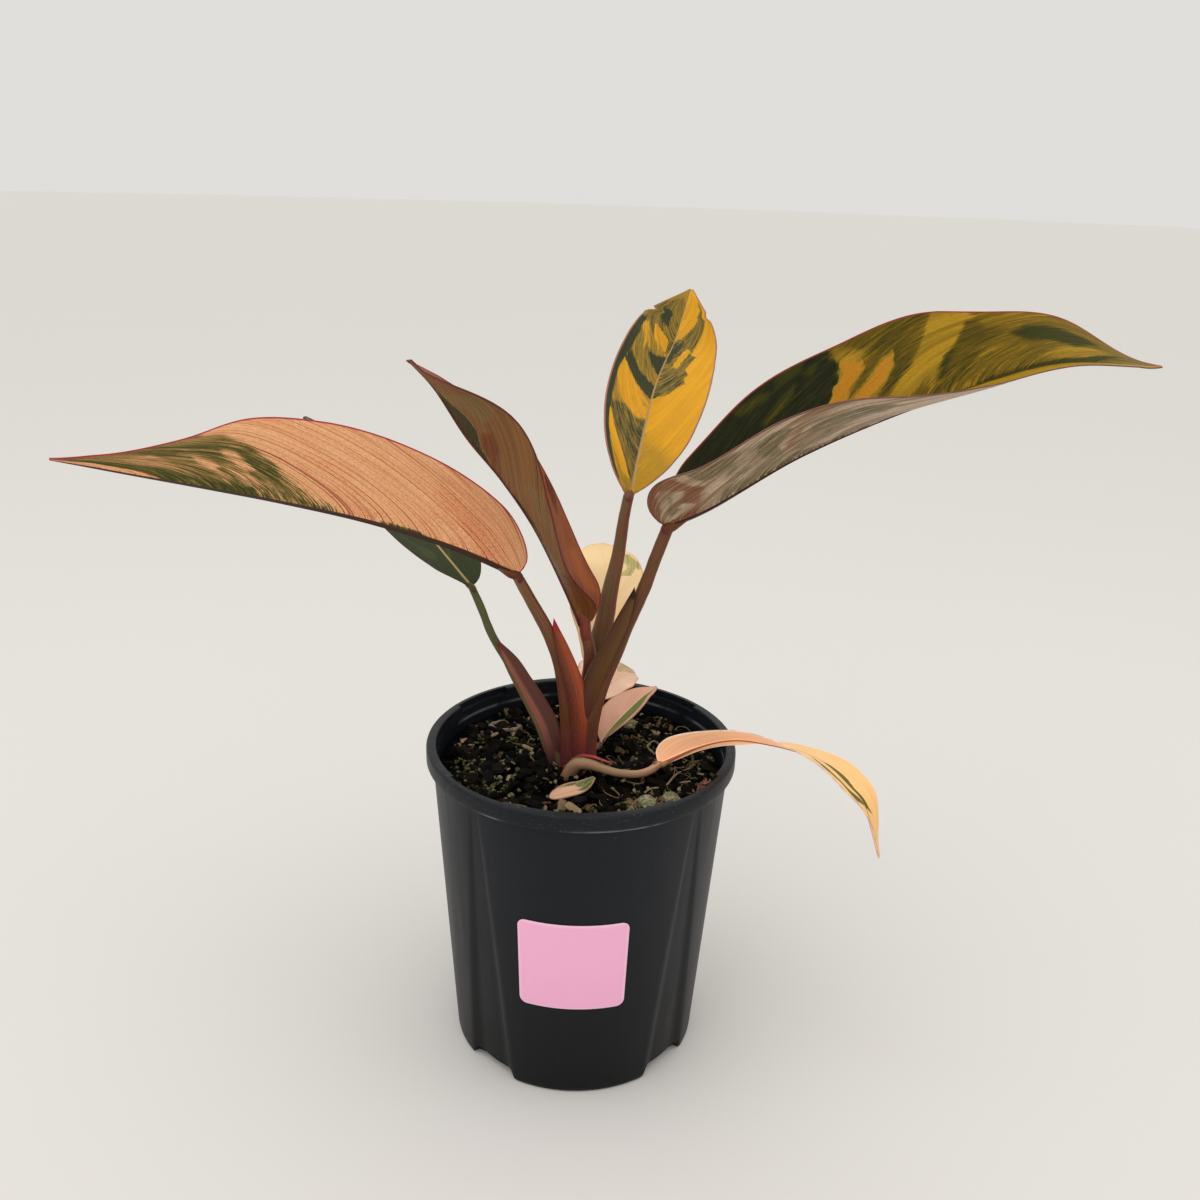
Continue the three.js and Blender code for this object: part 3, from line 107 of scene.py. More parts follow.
# Every leaf in mm and degrees: its stalk, its sheath if it has one, the height of its midrib,
# the midrib's route and facing, and the two halves of its blade.
LEAVES = {
    "left": {
        "stalk": stem([(-3, -9, 138), (-4, -9, 157), (-6.5, -10, 175), (-10, -11, 191),
            (-15.5, -12, 206), (-22.5, -13, 219.5), (-29, -14, 232)],
            [6.4, 5.6, 4.5, 3.5, 2.9, 2.6, 2.2], [6, 5.6, 4.6, 3.6, 2.9, 2.5, 2.2]),
        "sheath": stem([(0, -11, 141), (0, -12, 153), (-0.6, -13, 166), (-2.4, -13.6, 177.5),
            (-5.6, -13.8, 188.5), (-9.4, -13.8, 199.5), (-13.4, -13.6, 211)],
            [5.2, 5.2, 5, 4.5, 3.8, 2.8, 0.9], [4.6, 4.2, 3.4, 2.8, 2.3, 1.8, 0.6], hook=2.0),
        "rib": 1.6,
        "points": [(-29, -14, 233), (-56, -16, 245), (-90, -16, 255), (-126, -12, 261),
            (-158, -8, 265), (-192, -4, 269), (-225, 0, 273)],
        "face": [(0, 0.5, 0.85), (0, 0.55, 0.85), (0, 0.55, 0.85), (0, 0.6, 0.85), (0, 0.7, 0.8)],
        "left": half([14, 28, 34.6, 37.4, 33.6, 19.4, 7.9, 0.7], [48, 51, 43, 41, 50],
            [15, 15, 15, 10, 0], 9.4),
        "right": half([14, 28, 34.6, 37.4, 33.6, 19.4, 7.9, 0.7], [50, 50, 50, 50, 50],
            [10, 10, 10, 10, 0], 9),
    },
    "right": {
        "stalk": stem([(2, -11, 137), (2.5, -11, 152), (4, -11, 167), (8, -10, 182),
            (13.5, -9, 196), (19, -7, 210), (25, -4.5, 224), (30, -1, 238), (34.5, 2, 250)],
            [4.6, 4.4, 4.2, 3.9, 3.5, 3.1, 2.9, 2.7, 2.7],
            [5, 5, 4.6, 4.2, 3.6, 3.1, 2.8, 2.6, 2.6]),
        "sheath": stem([(0.5, -11.5, 158), (2, -12.6, 172), (5, -12.8, 185), (10.2, -12, 198),
            (15.6, -10.8, 210), (21.2, -8.6, 224.5)], [3.8, 4.4, 4.2, 3.7, 2.9, 0.9],
            [3, 3, 2.6, 2.2, 1.8, 0.6], hook=-1.6),
        "rib": 1.6,
        "points": [(33, 2, 251), (52, 2, 260), (87, 4, 282), (122, 6, 299), (154, 8, 311),
            (194, 10, 323), (238, 12, 323)],
        "face": [(0, -0.1, 1), (0, -0.1, 1), (0, -0.17, 0.98), (0, -0.3, 0.95), (0, -0.3, 0.95)],
        "left": half([16, 25.3, 33.7, 35.4, 36.1, 26.8, 17.7, 0.6], [53, 60, 58, 47, -11],
            [10, 10, 10, 10, 0], 2),
        "right": half([32, 25.7, 32.3, 42.6, 36.5, 24.2, 12.2, 0.6], [58, 46, 21, 22, 17],
            [20, 20, 20, 10, 0], 13.6),
    },
    "upright": {
        "stalk": stem([(0, -2, 138), (1, 0, 154), (3, 2, 173), (6, 5, 191), (9, 8, 205),
            (11, 11, 218), (14, 16, 232), (16, 21, 247), (18, 26, 257)],
            [5, 5, 4.8, 4.8, 4.4, 3.8, 3.1, 2.6, 2.4], [5, 4.6, 4.2, 4, 3.4, 3, 2.7, 2.4, 2.3]),
        "rib": 1.4,
        "points": [(19, 26, 258), (23, 44, 274), (29, 66, 296), (34, 76, 308), (39, 83, 318),
            (46, 92, 341)],
        "face": [(0, -0.8, 0.5), (0, -0.8, 0.5), (0, -0.8, 0.5), (0, -0.8, 0.5),
            (-0.1, -0.8, 0.6)],
        "left": half([6, 17.2, 22, 23.6, 23.1, 18.8, 0.6], [30, 22, 24, 3], [10, 10, 10, 10], 4.6,
            nicks=[(0.868, 0.012, 0.17), (0.85, 0.006, -0.1)]),
        "right": half([10.7, 22.7, 27.5, 29, 26.5, 19.5, 1.3], [34, 27, 26, 28], [10, 10, 10, 10],
            0.2, nicks=[(0.885, 0.014, 0.16)]),
    },
    "rolled": {
        "stalk": stem([(-1, -3, 138), (0.5, -2.5, 152), (1.5, -2, 170), (2.5, -3, 184),
            (2.5, -5, 195), (0.5, -6, 204)], [3.8, 3.4, 3, 2.9, 2.8, 2.6],
            [3.8, 3.4, 3, 2.8, 2.6, 2.4]),
        "rib": 1.4,
        "points": [(0, -6, 205), (-7, -12, 224), (-20, -24, 255), (-33, -34, 278),
            (-46, -44, 297), (-57, -50, 316), (-66, -54, 327)],
        "face": [(0.95, 0.2, 0.3), (0.95, 0.3, 0.3), (0.85, 0.5, 0.3), (0.6, 0.75, 0.3),
            (0.5, 0.8, 0.4)],
        "left": half([8.5, 12, 13.5, 16.3, 19.2, 19.9, 14.7, 1.7], [52, -11, -1, 21, -43],
            [50, 50, 40, 30, 10], -6.2),
        "right": half([17.5, 17, 20.1, 22.7, 24.5, 22.7, 13.6, 2], [52, 36, 45, 64, 41],
            [20, 20, 20, 20, 10], -1),
    },
    "lower_left": {
        "stalk": stem([(-8, -8, 139), (-13, -4, 149), (-19, 0, 161), (-26, 5, 171),
            (-34, 10, 182), (-42, 14, 194), (-47, 18, 205), (-51.5, 21.5, 213.5)],
            [3, 3, 2.8, 2.5, 2.1, 1.9, 1.8, 1.7], [3, 3, 2.8, 2.5, 2.1, 1.9, 1.8, 1.7],
            face=(0, -0.8, 0.6)),
        "sheath": stem([(-9, -9, 140), (-12.5, -7.5, 149.5), (-16, -4.5, 159), (-21.5, -1, 168),
            (-27, 2.5, 176), (-32.5, 6, 184), (-38.5, 9.5, 191.5)],
            [4, 4.8, 5.2, 4.8, 4.2, 3.4, 1], [2.8, 2.8, 2.6, 2.4, 2.1, 1.7, 0.7],
            face=(0, -0.8, 0.6)),
        "rib": 1.2,
        "points": [(-52, 22, 214), (-70, 34, 231), (-92, 48, 252), (-115, 62, 267),
            (-135, 72, 279)],
        "face": [(0.2, -0.3, 0.9), (0.2, -0.3, 0.9)],
        "left": half([10.4, 19.1, 21.8, 19, 11.3, 1.1], [20, 8, 3, 15], [10, 10, 10, 10], -5.4),
        "right": half([9.8, 15.5, 13.6, 11.4, 7.3, 0.6], [15, 16, 18, 15], [10, 10, 10, 10], 2.1),
    },
    "drooping": {
        "stalk": stem([(-6, -16, 138), (-2, -18, 146), (3, -19, 147), (9, -20, 145.5),
            (16, -22, 144.5), (24, -22, 144), (30, -20, 144.5), (34.5, -14.5, 145)],
            [3.4, 3.4, 3, 2.4, 2, 1.9, 1.9, 1.8], [3.4, 3.2, 2.8, 2.2, 1.9, 1.8, 1.8, 1.8],
            face=(0, 0.3, 1)),
        "sheath": stem([(-4, -16.5, 147), (0, -17, 149.6), (5, -18, 149.8), (9.6, -18.8, 148.6),
            (14, -19.4, 147.4)], [1.6, 1.8, 1.6, 1.2, 0.4], [1, 0.9, 0.8, 0.6, 0.4],
            face=(0, 0.3, 1)),
        "rib": 1.1,
        "points": [(35, -14, 145), (52, -15, 155), (67, -19, 161), (83, -25, 162), (96, -31, 161),
            (105, -36, 158), (114, -41, 151), (121, -45, 143), (128, -50, 122)],
        "face": [(0, 0.85, 0.5), (0, 0.85, 0.5), (0.1, 0.7, 0.7), (0.5, 0.2, 0.8),
            (0.75, -0.2, 0.6), (0.9, -0.3, 0.3)],
        "left": half([3.8, 3, 4.7, 11.4, 14.2, 14.2, 10.7, 5.6, 1.6], [21, -9, 16, 9, 29, 15],
            [10, 10, 10, 10, 0], -3),
        "right": half([10.4, 10, 9.4, 9.9, 11.1, 10.1, 8.8, 5.1, 0.6], [36, -3, -10, -11, 1, 45],
            [10, 10, 10, 10, 0], 1.5),
    },
    "back": {
        "stalk": stem([(0, 4, 138), (1.5, 14, 144), (3, 26, 152), (4, 35, 160), (4, 40, 166.5)],
            [2.6, 2.2, 1.8, 1.6, 1.5], [2.4, 2, 1.7, 1.5, 1.4]),
        "rib": 1,
        "points": [(4, 40, 167), (6, 42, 181), (8, 47, 197), (9, 54, 213), (7, 64, 223)],
        "face": [(-0.05, -0.85, 0.4), (-0.05, -0.85, 0.4)],
        "left": half([4, 9.3, 16.6, 16.9, 11], [-2, 9, 34, 23], [5, 5, 5, 5], 0, blunt=0.16),
        "right": half([4, 9.6, 16.2, 18.3, 9], [11, 11, 1, -22], [5, 5, 5, 5], 0, blunt=0.16),
    },
    "low_right": {
        "stalk": stem([(2, 0, 138), (5, 4, 140.5), (8.5, 9, 142)], [1.6, 1.5, 1.4],
            [1.6, 1.5, 1.4], face=(0, -0.5, 0.8)),
        "rib": 0.9,
        "points": [(9, 10, 143), (14, 14, 149), (21, 19, 155), (28, 24, 160), (35, 30, 163)],
        "face": [(-0.3, -0.5, 0.8), (-0.3, -0.5, 0.8), (-0.3, -0.5, 0.8), (-0.2, -0.4, 0.9)],
        "left": half([3, 8.8, 9.6, 6.3, 0.6], [13, 19, 10, 16], [10, 10, 10, 10], -1.1),
        "right": half([8.5, 9, 7.8, 5.5, 0.6], [53, 30, 23, 44], [10, 10, 10, 10], 0),
    },
    "low_back": {
        "stalk": stem([(0, 7, 138), (2, 18, 142), (4, 30, 146), (5, 35.5, 148.5)],
            [2, 1.7, 1.5, 1.4], [2, 1.7, 1.5, 1.4], face=(0, -0.7, 0.7)),
        "rib": 0.9,
        "points": [(5, 36, 149), (7, 40, 152), (12, 45, 155), (18, 50, 158), (26, 56, 158)],
        "face": [(-0.2, -0.75, 0.6), (-0.2, -0.75, 0.6)],
        "left": half([4.1, 15.4, 19.3, 11, 2], [19, 4, -8, 0], [5, 5, 5, 5], 0.5),
        "right": half([3.6, 7, 9.1, 7.9, 2.9], [30, 24, 19, 5], [5, 5, 5, 5], -2.1),
    },
}

# Patches painted on each half of a blade, one over another. A patch is how green it is, the mm
# over which it fades, and its outline in shares of the blade's length and of the half's width.
# Under -0.7 it blushes, up to 0.35 it is pale, then olive, dark from 0.65, deepest from 1.15.
WHOLE = [(-0.1, -0.2), (1.1, -0.2), (1.1, 1.2), (-0.1, 1.2)]
PAINT = {
    ("left", "left"): [
        (0.7, 3.5, [(1.1, 1.1), (0.69, 1.1), (0.66, 0.95), (0.63, 0.9), (0.57, 0.7), (0.525, 0.5),
            (0.485, 0.4), (0.425, 0.15), (0.37, 0.05), (0.34, -0.1), (0.3, -0.1), (0.72, -0.1),
            (0.805, 0.15), (0.895, 0.3), (0.975, 0.3)]),
        (0.8, 3, [(0.715, 0.85), (0.69, 0.7), (0.645, 0.7), (0.545, 0.3), (0.52, 0.2),
            (0.46, 0.05), (0.365, 0.05), (0.46, 0.25), (0.485, 0.35), (0.6, 0.7), (0.62, 0.85)]),
        (0.85, 2.5, [(0.69, 0.7), (0.66, 0.7), (0.63, 0.55), (0.615, 0.45), (0.64, 0.45),
            (0.665, 0.55)]),
        (0.8, 2.5, [(0.705, 0.45), (0.63, 0.3), (0.615, 0.2), (0.655, 0.1), (0.68, 0.2)]),
        (0.8, 2.5, [(0.805, 0.9), (0.75, 0.9), (0.705, 0.75), (0.725, 0.65), (0.785, 0.65)]),
        (0.05, 2, [(0.63, 0.65), (0.6, 0.6), (0.56, 0.35), (0.58, 0.35), (0.62, 0.55)]),
        (0.1, 2, [(0.69, 0.6), (0.63, 0.4), (0.645, 0.35), (0.675, 0.45)]),
        (0.4, 2.5, [(0.62, 0.4), (0.58, 0.3), (0.545, 0.2), (0.52, 0.1), (0.55, 0.05),
            (0.59, 0.2)]),
        (0.45, 2.5, [(0.845, 0.65), (0.78, 0.75), (0.695, 0.25), (0.75, 0.35), (0.815, 0.45)]),
        (1, 1.2, [(0.975, 0.58), (0.895, 0.51), (0.805, 0.39), (0.76, 0.32), (0.72, 0.22),
            (0.675, 0.15), (0.615, 0.12), (0.56, 0.12), (0.55, -0.1), (0.72, -0.1), (0.805, 0.15),
            (0.895, 0.29)]),
        (0.98, 1.4, [(0.485, 0.08), (0.425, 0.05), (0.36, -0.1), (0.3, 0.05), (0.215, 0.05),
            (0.11, -0.1), (0.015, 0.05), (0.105, -0.1), (0.38, -0.1)]),
        (-0.1, 6, [(0.47, 0.6), (0.41, 0.4), (0.4, 0.3), (0.425, 0.3), (0.45, 0.45)]),
        (0, 5, [(0.63, 0.95), (0.59, 0.85), (0.565, 0.75), (0.59, 0.75)]),
        (-1.15, 20, [(0.185, 0.9), (0.075, 0.6), (0.035, 0.3), (0.065, -0.1), (0.13, 0.15),
            (0.195, 0.4), (0.21, 0.65)]),
        (-1.1, 14, [(0.485, 0.4), (0.47, 0.6), (0.41, 0.4), (0.365, 0.2), (0.31, 0.05),
            (0.37, 0.1), (0.425, 0.2)]),
    ],
    ("left", "right"): [
        (0.5, 3, [(0.8, -0.1), (0.8, 0.5), (0.6, 0.6), (0.35, 0.9), (0.3, 0.6), (0.45, 0.4),
            (0.55, -0.1)]),
    ],
    ("right", "left"): [
        (0.5, 6, [(0.3, -0.1), (1, -0.1), (1, 1.1), (0.28, 1.1)]),
        (0.62, 5, [(0.6, 1.1), (0.58, 0.8), (0.52, 0.4), (0.485, 0.25), (0.47, 0.25),
            (0.495, 0.45), (0.495, 0.7), (0.435, 0.9), (0.45, 1.1)]),
        (-0.7, 4, [(0.675, 0.9), (0.645, 0.7), (0.575, 0.35), (0.51, 0.15), (0.495, 0.2),
            (0.54, 0.4), (0.575, 0.65), (0.615, 1.1)]),
        (0.95, 2.5, [(0.665, 0.7), (0.66, 0.55), (0.625, 0.35), (0.6, 0.25), (0.58, 0.2),
            (0.6, 0.45)]),
        (0.62, 3, [(0.735, 0.95), (0.715, 0.65), (0.68, 0.5), (0.655, 0.3), (0.605, 0.1),
            (0.56, 0.05), (0.59, 0.2), (0.655, 0.9)]),
        (0.48, 3.5, [(0.755, 0.7), (0.725, 0.45), (0.685, 0.25), (0.63, 0.05), (0.645, 0.25),
            (0.675, 0.45), (0.73, 0.65)]),
        (0.42, 3, [(0.675, 0.95), (0.755, 1.1), (0.81, 0.9), (0.775, 0.85), (0.73, 0.75),
            (0.69, 0.75)]),
        (0.95, 2.5, [(0.73, 0.65), (0.76, 0.75), (0.8, 0.75), (0.855, 0.7), (0.885, 0.65),
            (0.84, 0.4), (0.8, 0.5), (0.76, 0.5)]),
        (0.5, 3, [(0.79, 0.4), (0.755, 0.2), (0.665, 0.1), (0.705, 0.35), (0.755, 0.45)]),
        (0.25, 3, [(0.77, 0.2), (0.815, 0.35), (0.87, 0.45), (0.91, 0.45), (0.865, 0.15),
            (0.81, 0.1)]),
        (0.95, 0.9, [(0.6, -0.1), (0.66, 0.05), (0.71, 0.05), (0.77, 0.07), (0.855, 0.14),
            (0.945, 0.53), (0.98, 0.81), (0.855, -0.1)]),
        (-1.4, 0.9, [(0.37, 0.39), (0.42, 0.66), (0.425, 0.83), (0.435, 0.83), (0.46, 0.73),
            (0.46, 0.64), (0.445, 0.53), (0.425, 0.44), (0.405, 0.32)]),
        (0.55, 0.9, [(0.41, 0.36), (0.425, 0.47), (0.48, 0.69), (0.505, 0.64), (0.47, 0.53),
            (0.415, 0.32)]),
        (-1.4, 0.9, [(0.41, 0.32), (0.47, 0.51), (0.495, 0.63), (0.515, 0.66), (0.51, 0.53),
            (0.49, 0.39), (0.465, 0.29), (0.435, 0.27)]),
        (0.3, 2.5, [(0.42, 0.95), (0.45, 0.9), (0.47, 0.8), (0.47, 0.7), (0.435, 0.8),
            (0.415, 0.8)]),
        (1.3, 0.8, [(0, -0.1), (0, 1.1), (0.4, 1.1), (0.415, 0.93), (0.4, 0.92), (0.415, 0.85),
            (0.42, 0.76), (0.41, 0.71), (0.41, 0.59), (0.395, 0.56), (0.39, 0.46), (0.375, 0.39),
            (0.36, -0.1)]),
        (0.8, 1.6, [(0.22, 0.95), (0.245, 0.95), (0.295, 0.86), (0.28, 0.81), (0.255, 0.81),
            (0.23, 0.85)]),
        (0.75, 1.4, [(0.255, 0.58), (0.34, 0.8), (0.325, 0.68), (0.29, 0.58), (0.26, 0.53)]),
        (0.9, 1.4, [(0.35, 0.83), (0.375, 0.9), (0.395, 0.92), (0.37, 0.81)]),
        (0.95, 2, [(0.3, 0.85), (0.355, 0.9), (0.385, 1.1), (0.36, 1.1), (0.31, 0.95)]),
    ],
    ("right", "right"): [
        (0.55, 3, [(0, 1.1), (0.05, -0.1), (0.37, -0.1), (0.48, 0.25), (0.46, 0.4), (0.35, 0.1),
            (0.135, 0.45), (0.03, 0.35)]),
        (0.4, 4, [(0.47, 0.9), (0.45, 0.7), (0.35, 0.2), (0.21, 0.2), (0.09, 0.3), (0.03, -0.1),
            (0, 1.1), (0.02, 1.1), (0.105, 0.85), (0.18, 0.9), (0.305, 0.8)]),
        (-1.3, 12, [(0.16, 1.1), (0.13, 0.5), (0.08, -0.1), (-0.1, -0.1), (-0.1, 1.1)]),
        (0.5, 6, [(0.04, 0.8), (0.07, 0.63), (0.05, 0.42), (0.07, 0.25), (0.035, 0.14),
            (0.015, 0.15), (0.015, 0.41), (0.03, 0.51)]),
        (0.6, 6, [(0.08, 1.1), (0.13, 1.1), (0.2, 0.95), (0.21, 0.8), (0.16, 0.65), (0.12, 0.6),
            (0.1, 0.75)]),
        (0.3, 2.5, [(0.205, 0.8), (0.225, 0.65), (0.205, 0.45), (0.18, 0.55), (0.18, 0.75)]),
        (0.62, 2.5, [(0.26, 0.9), (0.29, 0.85), (0.295, 0.55), (0.27, 0.35), (0.235, 0.4),
            (0.22, 0.6), (0.23, 0.85)]),
        (-1, 4, [(0.32, 0.75), (0.3, 0.5), (0.27, 0.3), (0.265, 0.55), (0.3, 0.75)]),
        (0.55, 3.5, [(0.32, 0.6), (0.36, 0.8), (0.405, 0.85), (0.465, 0.85), (0.45, 0.6),
            (0.39, 0.55), (0.35, 0.35)]),
    ],
    ("upright", "left"): [
        (0.42, 2, [(-0.1, -0.1), (1.1, -0.1), (1.1, 1.1), (-0.1, 1.1)]),
        (0.22, 1.6, [(0.59, 0.95), (0.555, 0.64), (0.49, 0.25), (0.415, -0.1), (0.335, 0.12),
            (0.4, 0.61), (0.485, 0.86), (0.535, 1.1)]),
        (-0.6, 1.6, [(0.575, 1.1), (0.56, 0.75), (0.51, 0.47), (0.455, 0.39), (0.445, 0.58),
            (0.47, 0.75)]),
        (0.66, 1.6, [(0.38, 0.9), (0.395, 0.53), (0.355, 0.24), (0.37, -0.1), (0.05, -0.1),
            (0.085, 0.29), (0.19, 0.63), (0.28, 0.88)]),
        (0.98, 0.9, [(0.615, 0.75), (0.56, 0.41), (0.525, -0.1), (0.46, -0.1), (0.505, 0.39),
            (0.575, 0.83)]),
        (0.52, 1.1, [(0.74, 0.81), (0.64, 0.31), (0.59, -0.1), (0.52, -0.1), (0.565, 0.37),
            (0.66, 0.9)]),
        (0.98, 0.9, [(0.665, 0.46), (0.66, 0.24), (0.69, -0.1), (0.575, -0.1), (0.615, 0.24)]),
        (0.92, 1, [(0.585, 1.1), (0.6, 0.78), (0.835, 0.88), (0.81, 1.1)]),
        (0.58, 1.1, [(0.91, 1.1), (0.96, 0.39), (0.925, -0.1), (0.755, -0.1), (0.695, 0.05),
            (0.73, 0.42), (0.785, 0.66), (0.84, 1.1)]),
        (0.25, 1, [(0.785, 0.85), (0.81, 0.73), (0.7, 0.51), (0.66, 0.56)]),
        (-0.7, 0.9, [(0.805, 0.56), (0.755, 0.15), (0.705, 0.1), (0.73, 0.42)]),
        (0.9, 0.6, [(0.895, 0.75), (0.88, 0.37), (0.81, 0.25), (0.84, 0.51)]),
        (-0.7, 0.8, [(0.4, 0.95), (0.275, 0.75), (0.07, 0.24), (0.09, 0.54), (0.2, 0.8),
            (0.31, 0.93)]),
        (1.1, 0.9, [(0.82, 0.84), (0.82, 1.1), (0.03, 1.1), (0.06, 0.84), (0.3, 0.87),
            (0.5, 0.86), (0.68, 0.8)]),
    ],
    ("upright", "right"): [
        (-1.2, 9, [(0.3, -0.1), (0.2, 0.6), (0.1, 1.1), (-0.1, 1.1), (-0.1, -0.1)]),
        (0.62, 0.9, [(0.46, -0.1), (0.49, 0.31), (0.525, 0.42), (0.55, 0.54), (0.585, 0.49),
            (0.61, 0.56), (0.63, 0.46), (0.715, 0.61), (0.72, 0.47), (0.785, 0.59), (0.875, 0.85),
            (0.955, 0.85), (0.875, 0.29), (0.755, -0.1)]),
        (-0.7, 0.8, [(0.74, 0.41), (0.64, 0.27), (0.645, 0.19), (0.725, 0.29)]),
        (-0.7, 0.8, [(0.92, 0.75), (0.785, 0.12), (0.765, -0.1), (0.855, 0.29), (0.945, 0.36)]),
        (0.9, 0.8, [(0.77, 0.22), (0.655, 0.07), (0.705, -0.1), (0.745, 0.07)]),
    ],
    ("rolled", "left"): [
        (0.34, 8, [(0.93, 0.1), (0.87, 1.1), (0.78, 1.1), (0.745, 0.75), (0.75, 0.35),
            (0.82, 0.2), (0.875, -0.1)]),
        (0.3, 8, [(0.6, 0.65), (0.54, 1.1), (0.365, 1.1), (0.345, 0.8), (0.445, 0.4),
            (0.56, 0.25)]),
        (-1.15, 5, [(0.755, 0.3), (0.735, 0.55), (0.675, 0.45), (0.61, 0.05), (0.66, -0.1),
            (0.715, 0.1)]),
        (-1.1, 5, [(0.26, 0.5), (0.265, 1.1), (0.01, 1.1), (0.035, 0.25), (0.15, 0.25)]),
        (1, 0.9, [(0.905, 0.08), (0.85, 0.19), (0.815, 0.29), (0.755, 0.27), (0.705, 0.12),
            (0.655, 0.05), (0.6, -0.1), (0.825, -0.1)]),
        (0.95, 0.8, [(0.6, -0.1), (0.505, 0.1), (0.375, 0.42), (0.18, 0.42), (0.215, 0.07),
            (0.38, 0.05), (0.52, -0.1)]),
    ],
    ("rolled", "right"): [
        (0.5, 3, [(0.475, 0.95), (0.425, 1.1), (0.245, 0.6), (0.425, 0.8)]),
        (-1.1, 4, [(0.255, 0.65), (0.22, 0.85), (0.08, 0.9), (0.04, 1.1), (0.075, 0.65),
            (0.17, 0.5)]),
    ],
    ("lower_left", "left"): [
        (0.95, 2, WHOLE),
        (0.7, 4, [(0.315, 0.7), (0.255, 0.55), (0.195, 0.6), (0.225, 0.75), (0.285, 0.85)]),
        (0.7, 3, [(0.24, 0.65), (0.185, 0.25), (0.135, 0.4), (0.165, 0.85)]),
    ],
    ("lower_left", "right"): [
        (0.95, 2, WHOLE),
        (0.66, 2.5, [(0.195, 0.15), (0.185, 0.3), (0.135, 0.25), (0.13, -0.1)]),
    ],
    ("drooping", "left"): [
        (0.98, 0.5, [(0.525, -0.1), (0.575, -0.1), (0.63, 0.14), (0.695, 0.22), (0.755, 0.12),
            (0.82, 0.2), (0.865, 0.46), (0.81, -0.1)]),
    ],
    ("drooping", "right"): [
        (0.9, 0.5, [(0.55, 0.15), (0.615, 0.39), (0.68, 0.37), (0.745, 0.31), (0.82, -0.1),
            (0.775, 0.9), (0.705, 0.54), (0.625, 0.76)]),
    ],
    ("back", "right"): [
        (0.62, 0.9, [(0.9, 0.92), (0.845, 0.9), (0.79, 1.1), (0.755, 1.1), (0.77, 0.83),
            (0.725, 0.69), (0.71, 0.34), (0.78, 0.31), (0.875, 0.56)]),
        (0.3, 1, [(0.84, 0.47), (0.79, 0.69), (0.755, 0.56), (0.745, 0.37)]),
    ],
    ("low_right", "right"): [
        (0.85, 0.9, [(0, -0.1), (1.1, -0.1), (0.88, 0.59), (0.63, 0.83), (0.45, 0.8),
            (0.27, 0.86), (0.1, 1.1)]),
    ],
    ("low_back", "left"): [
        (0.45, 1.5, [(0.95, 1.1), (1.1, -0.1), (0.91, 0.2), (0.7, 0.31), (0.8, 0.88)]),
    ],
}


def face_tones(codes, **more):
    """A blade face's tones: pale, its shift, olive, dark, vein, midrib and margin, and more."""
    names = ("pale", "pale_shift", "olive", "dark", "vein", "midrib", "margin")
    tones = dict(zip(names, codes.split()))
    usual = {"blush": tones["vein"], "spot": tones["vein"], "deep": tones["dark"], "dots": 0.0,
             "speckle": 0.2, "vein_strength": 0.5, "wander": 1.0, "blur": 0.03, "spacing": 4.6,
             "gloss": 0.14, "glow": 0.0}
    return {**usual, **tones, **more}


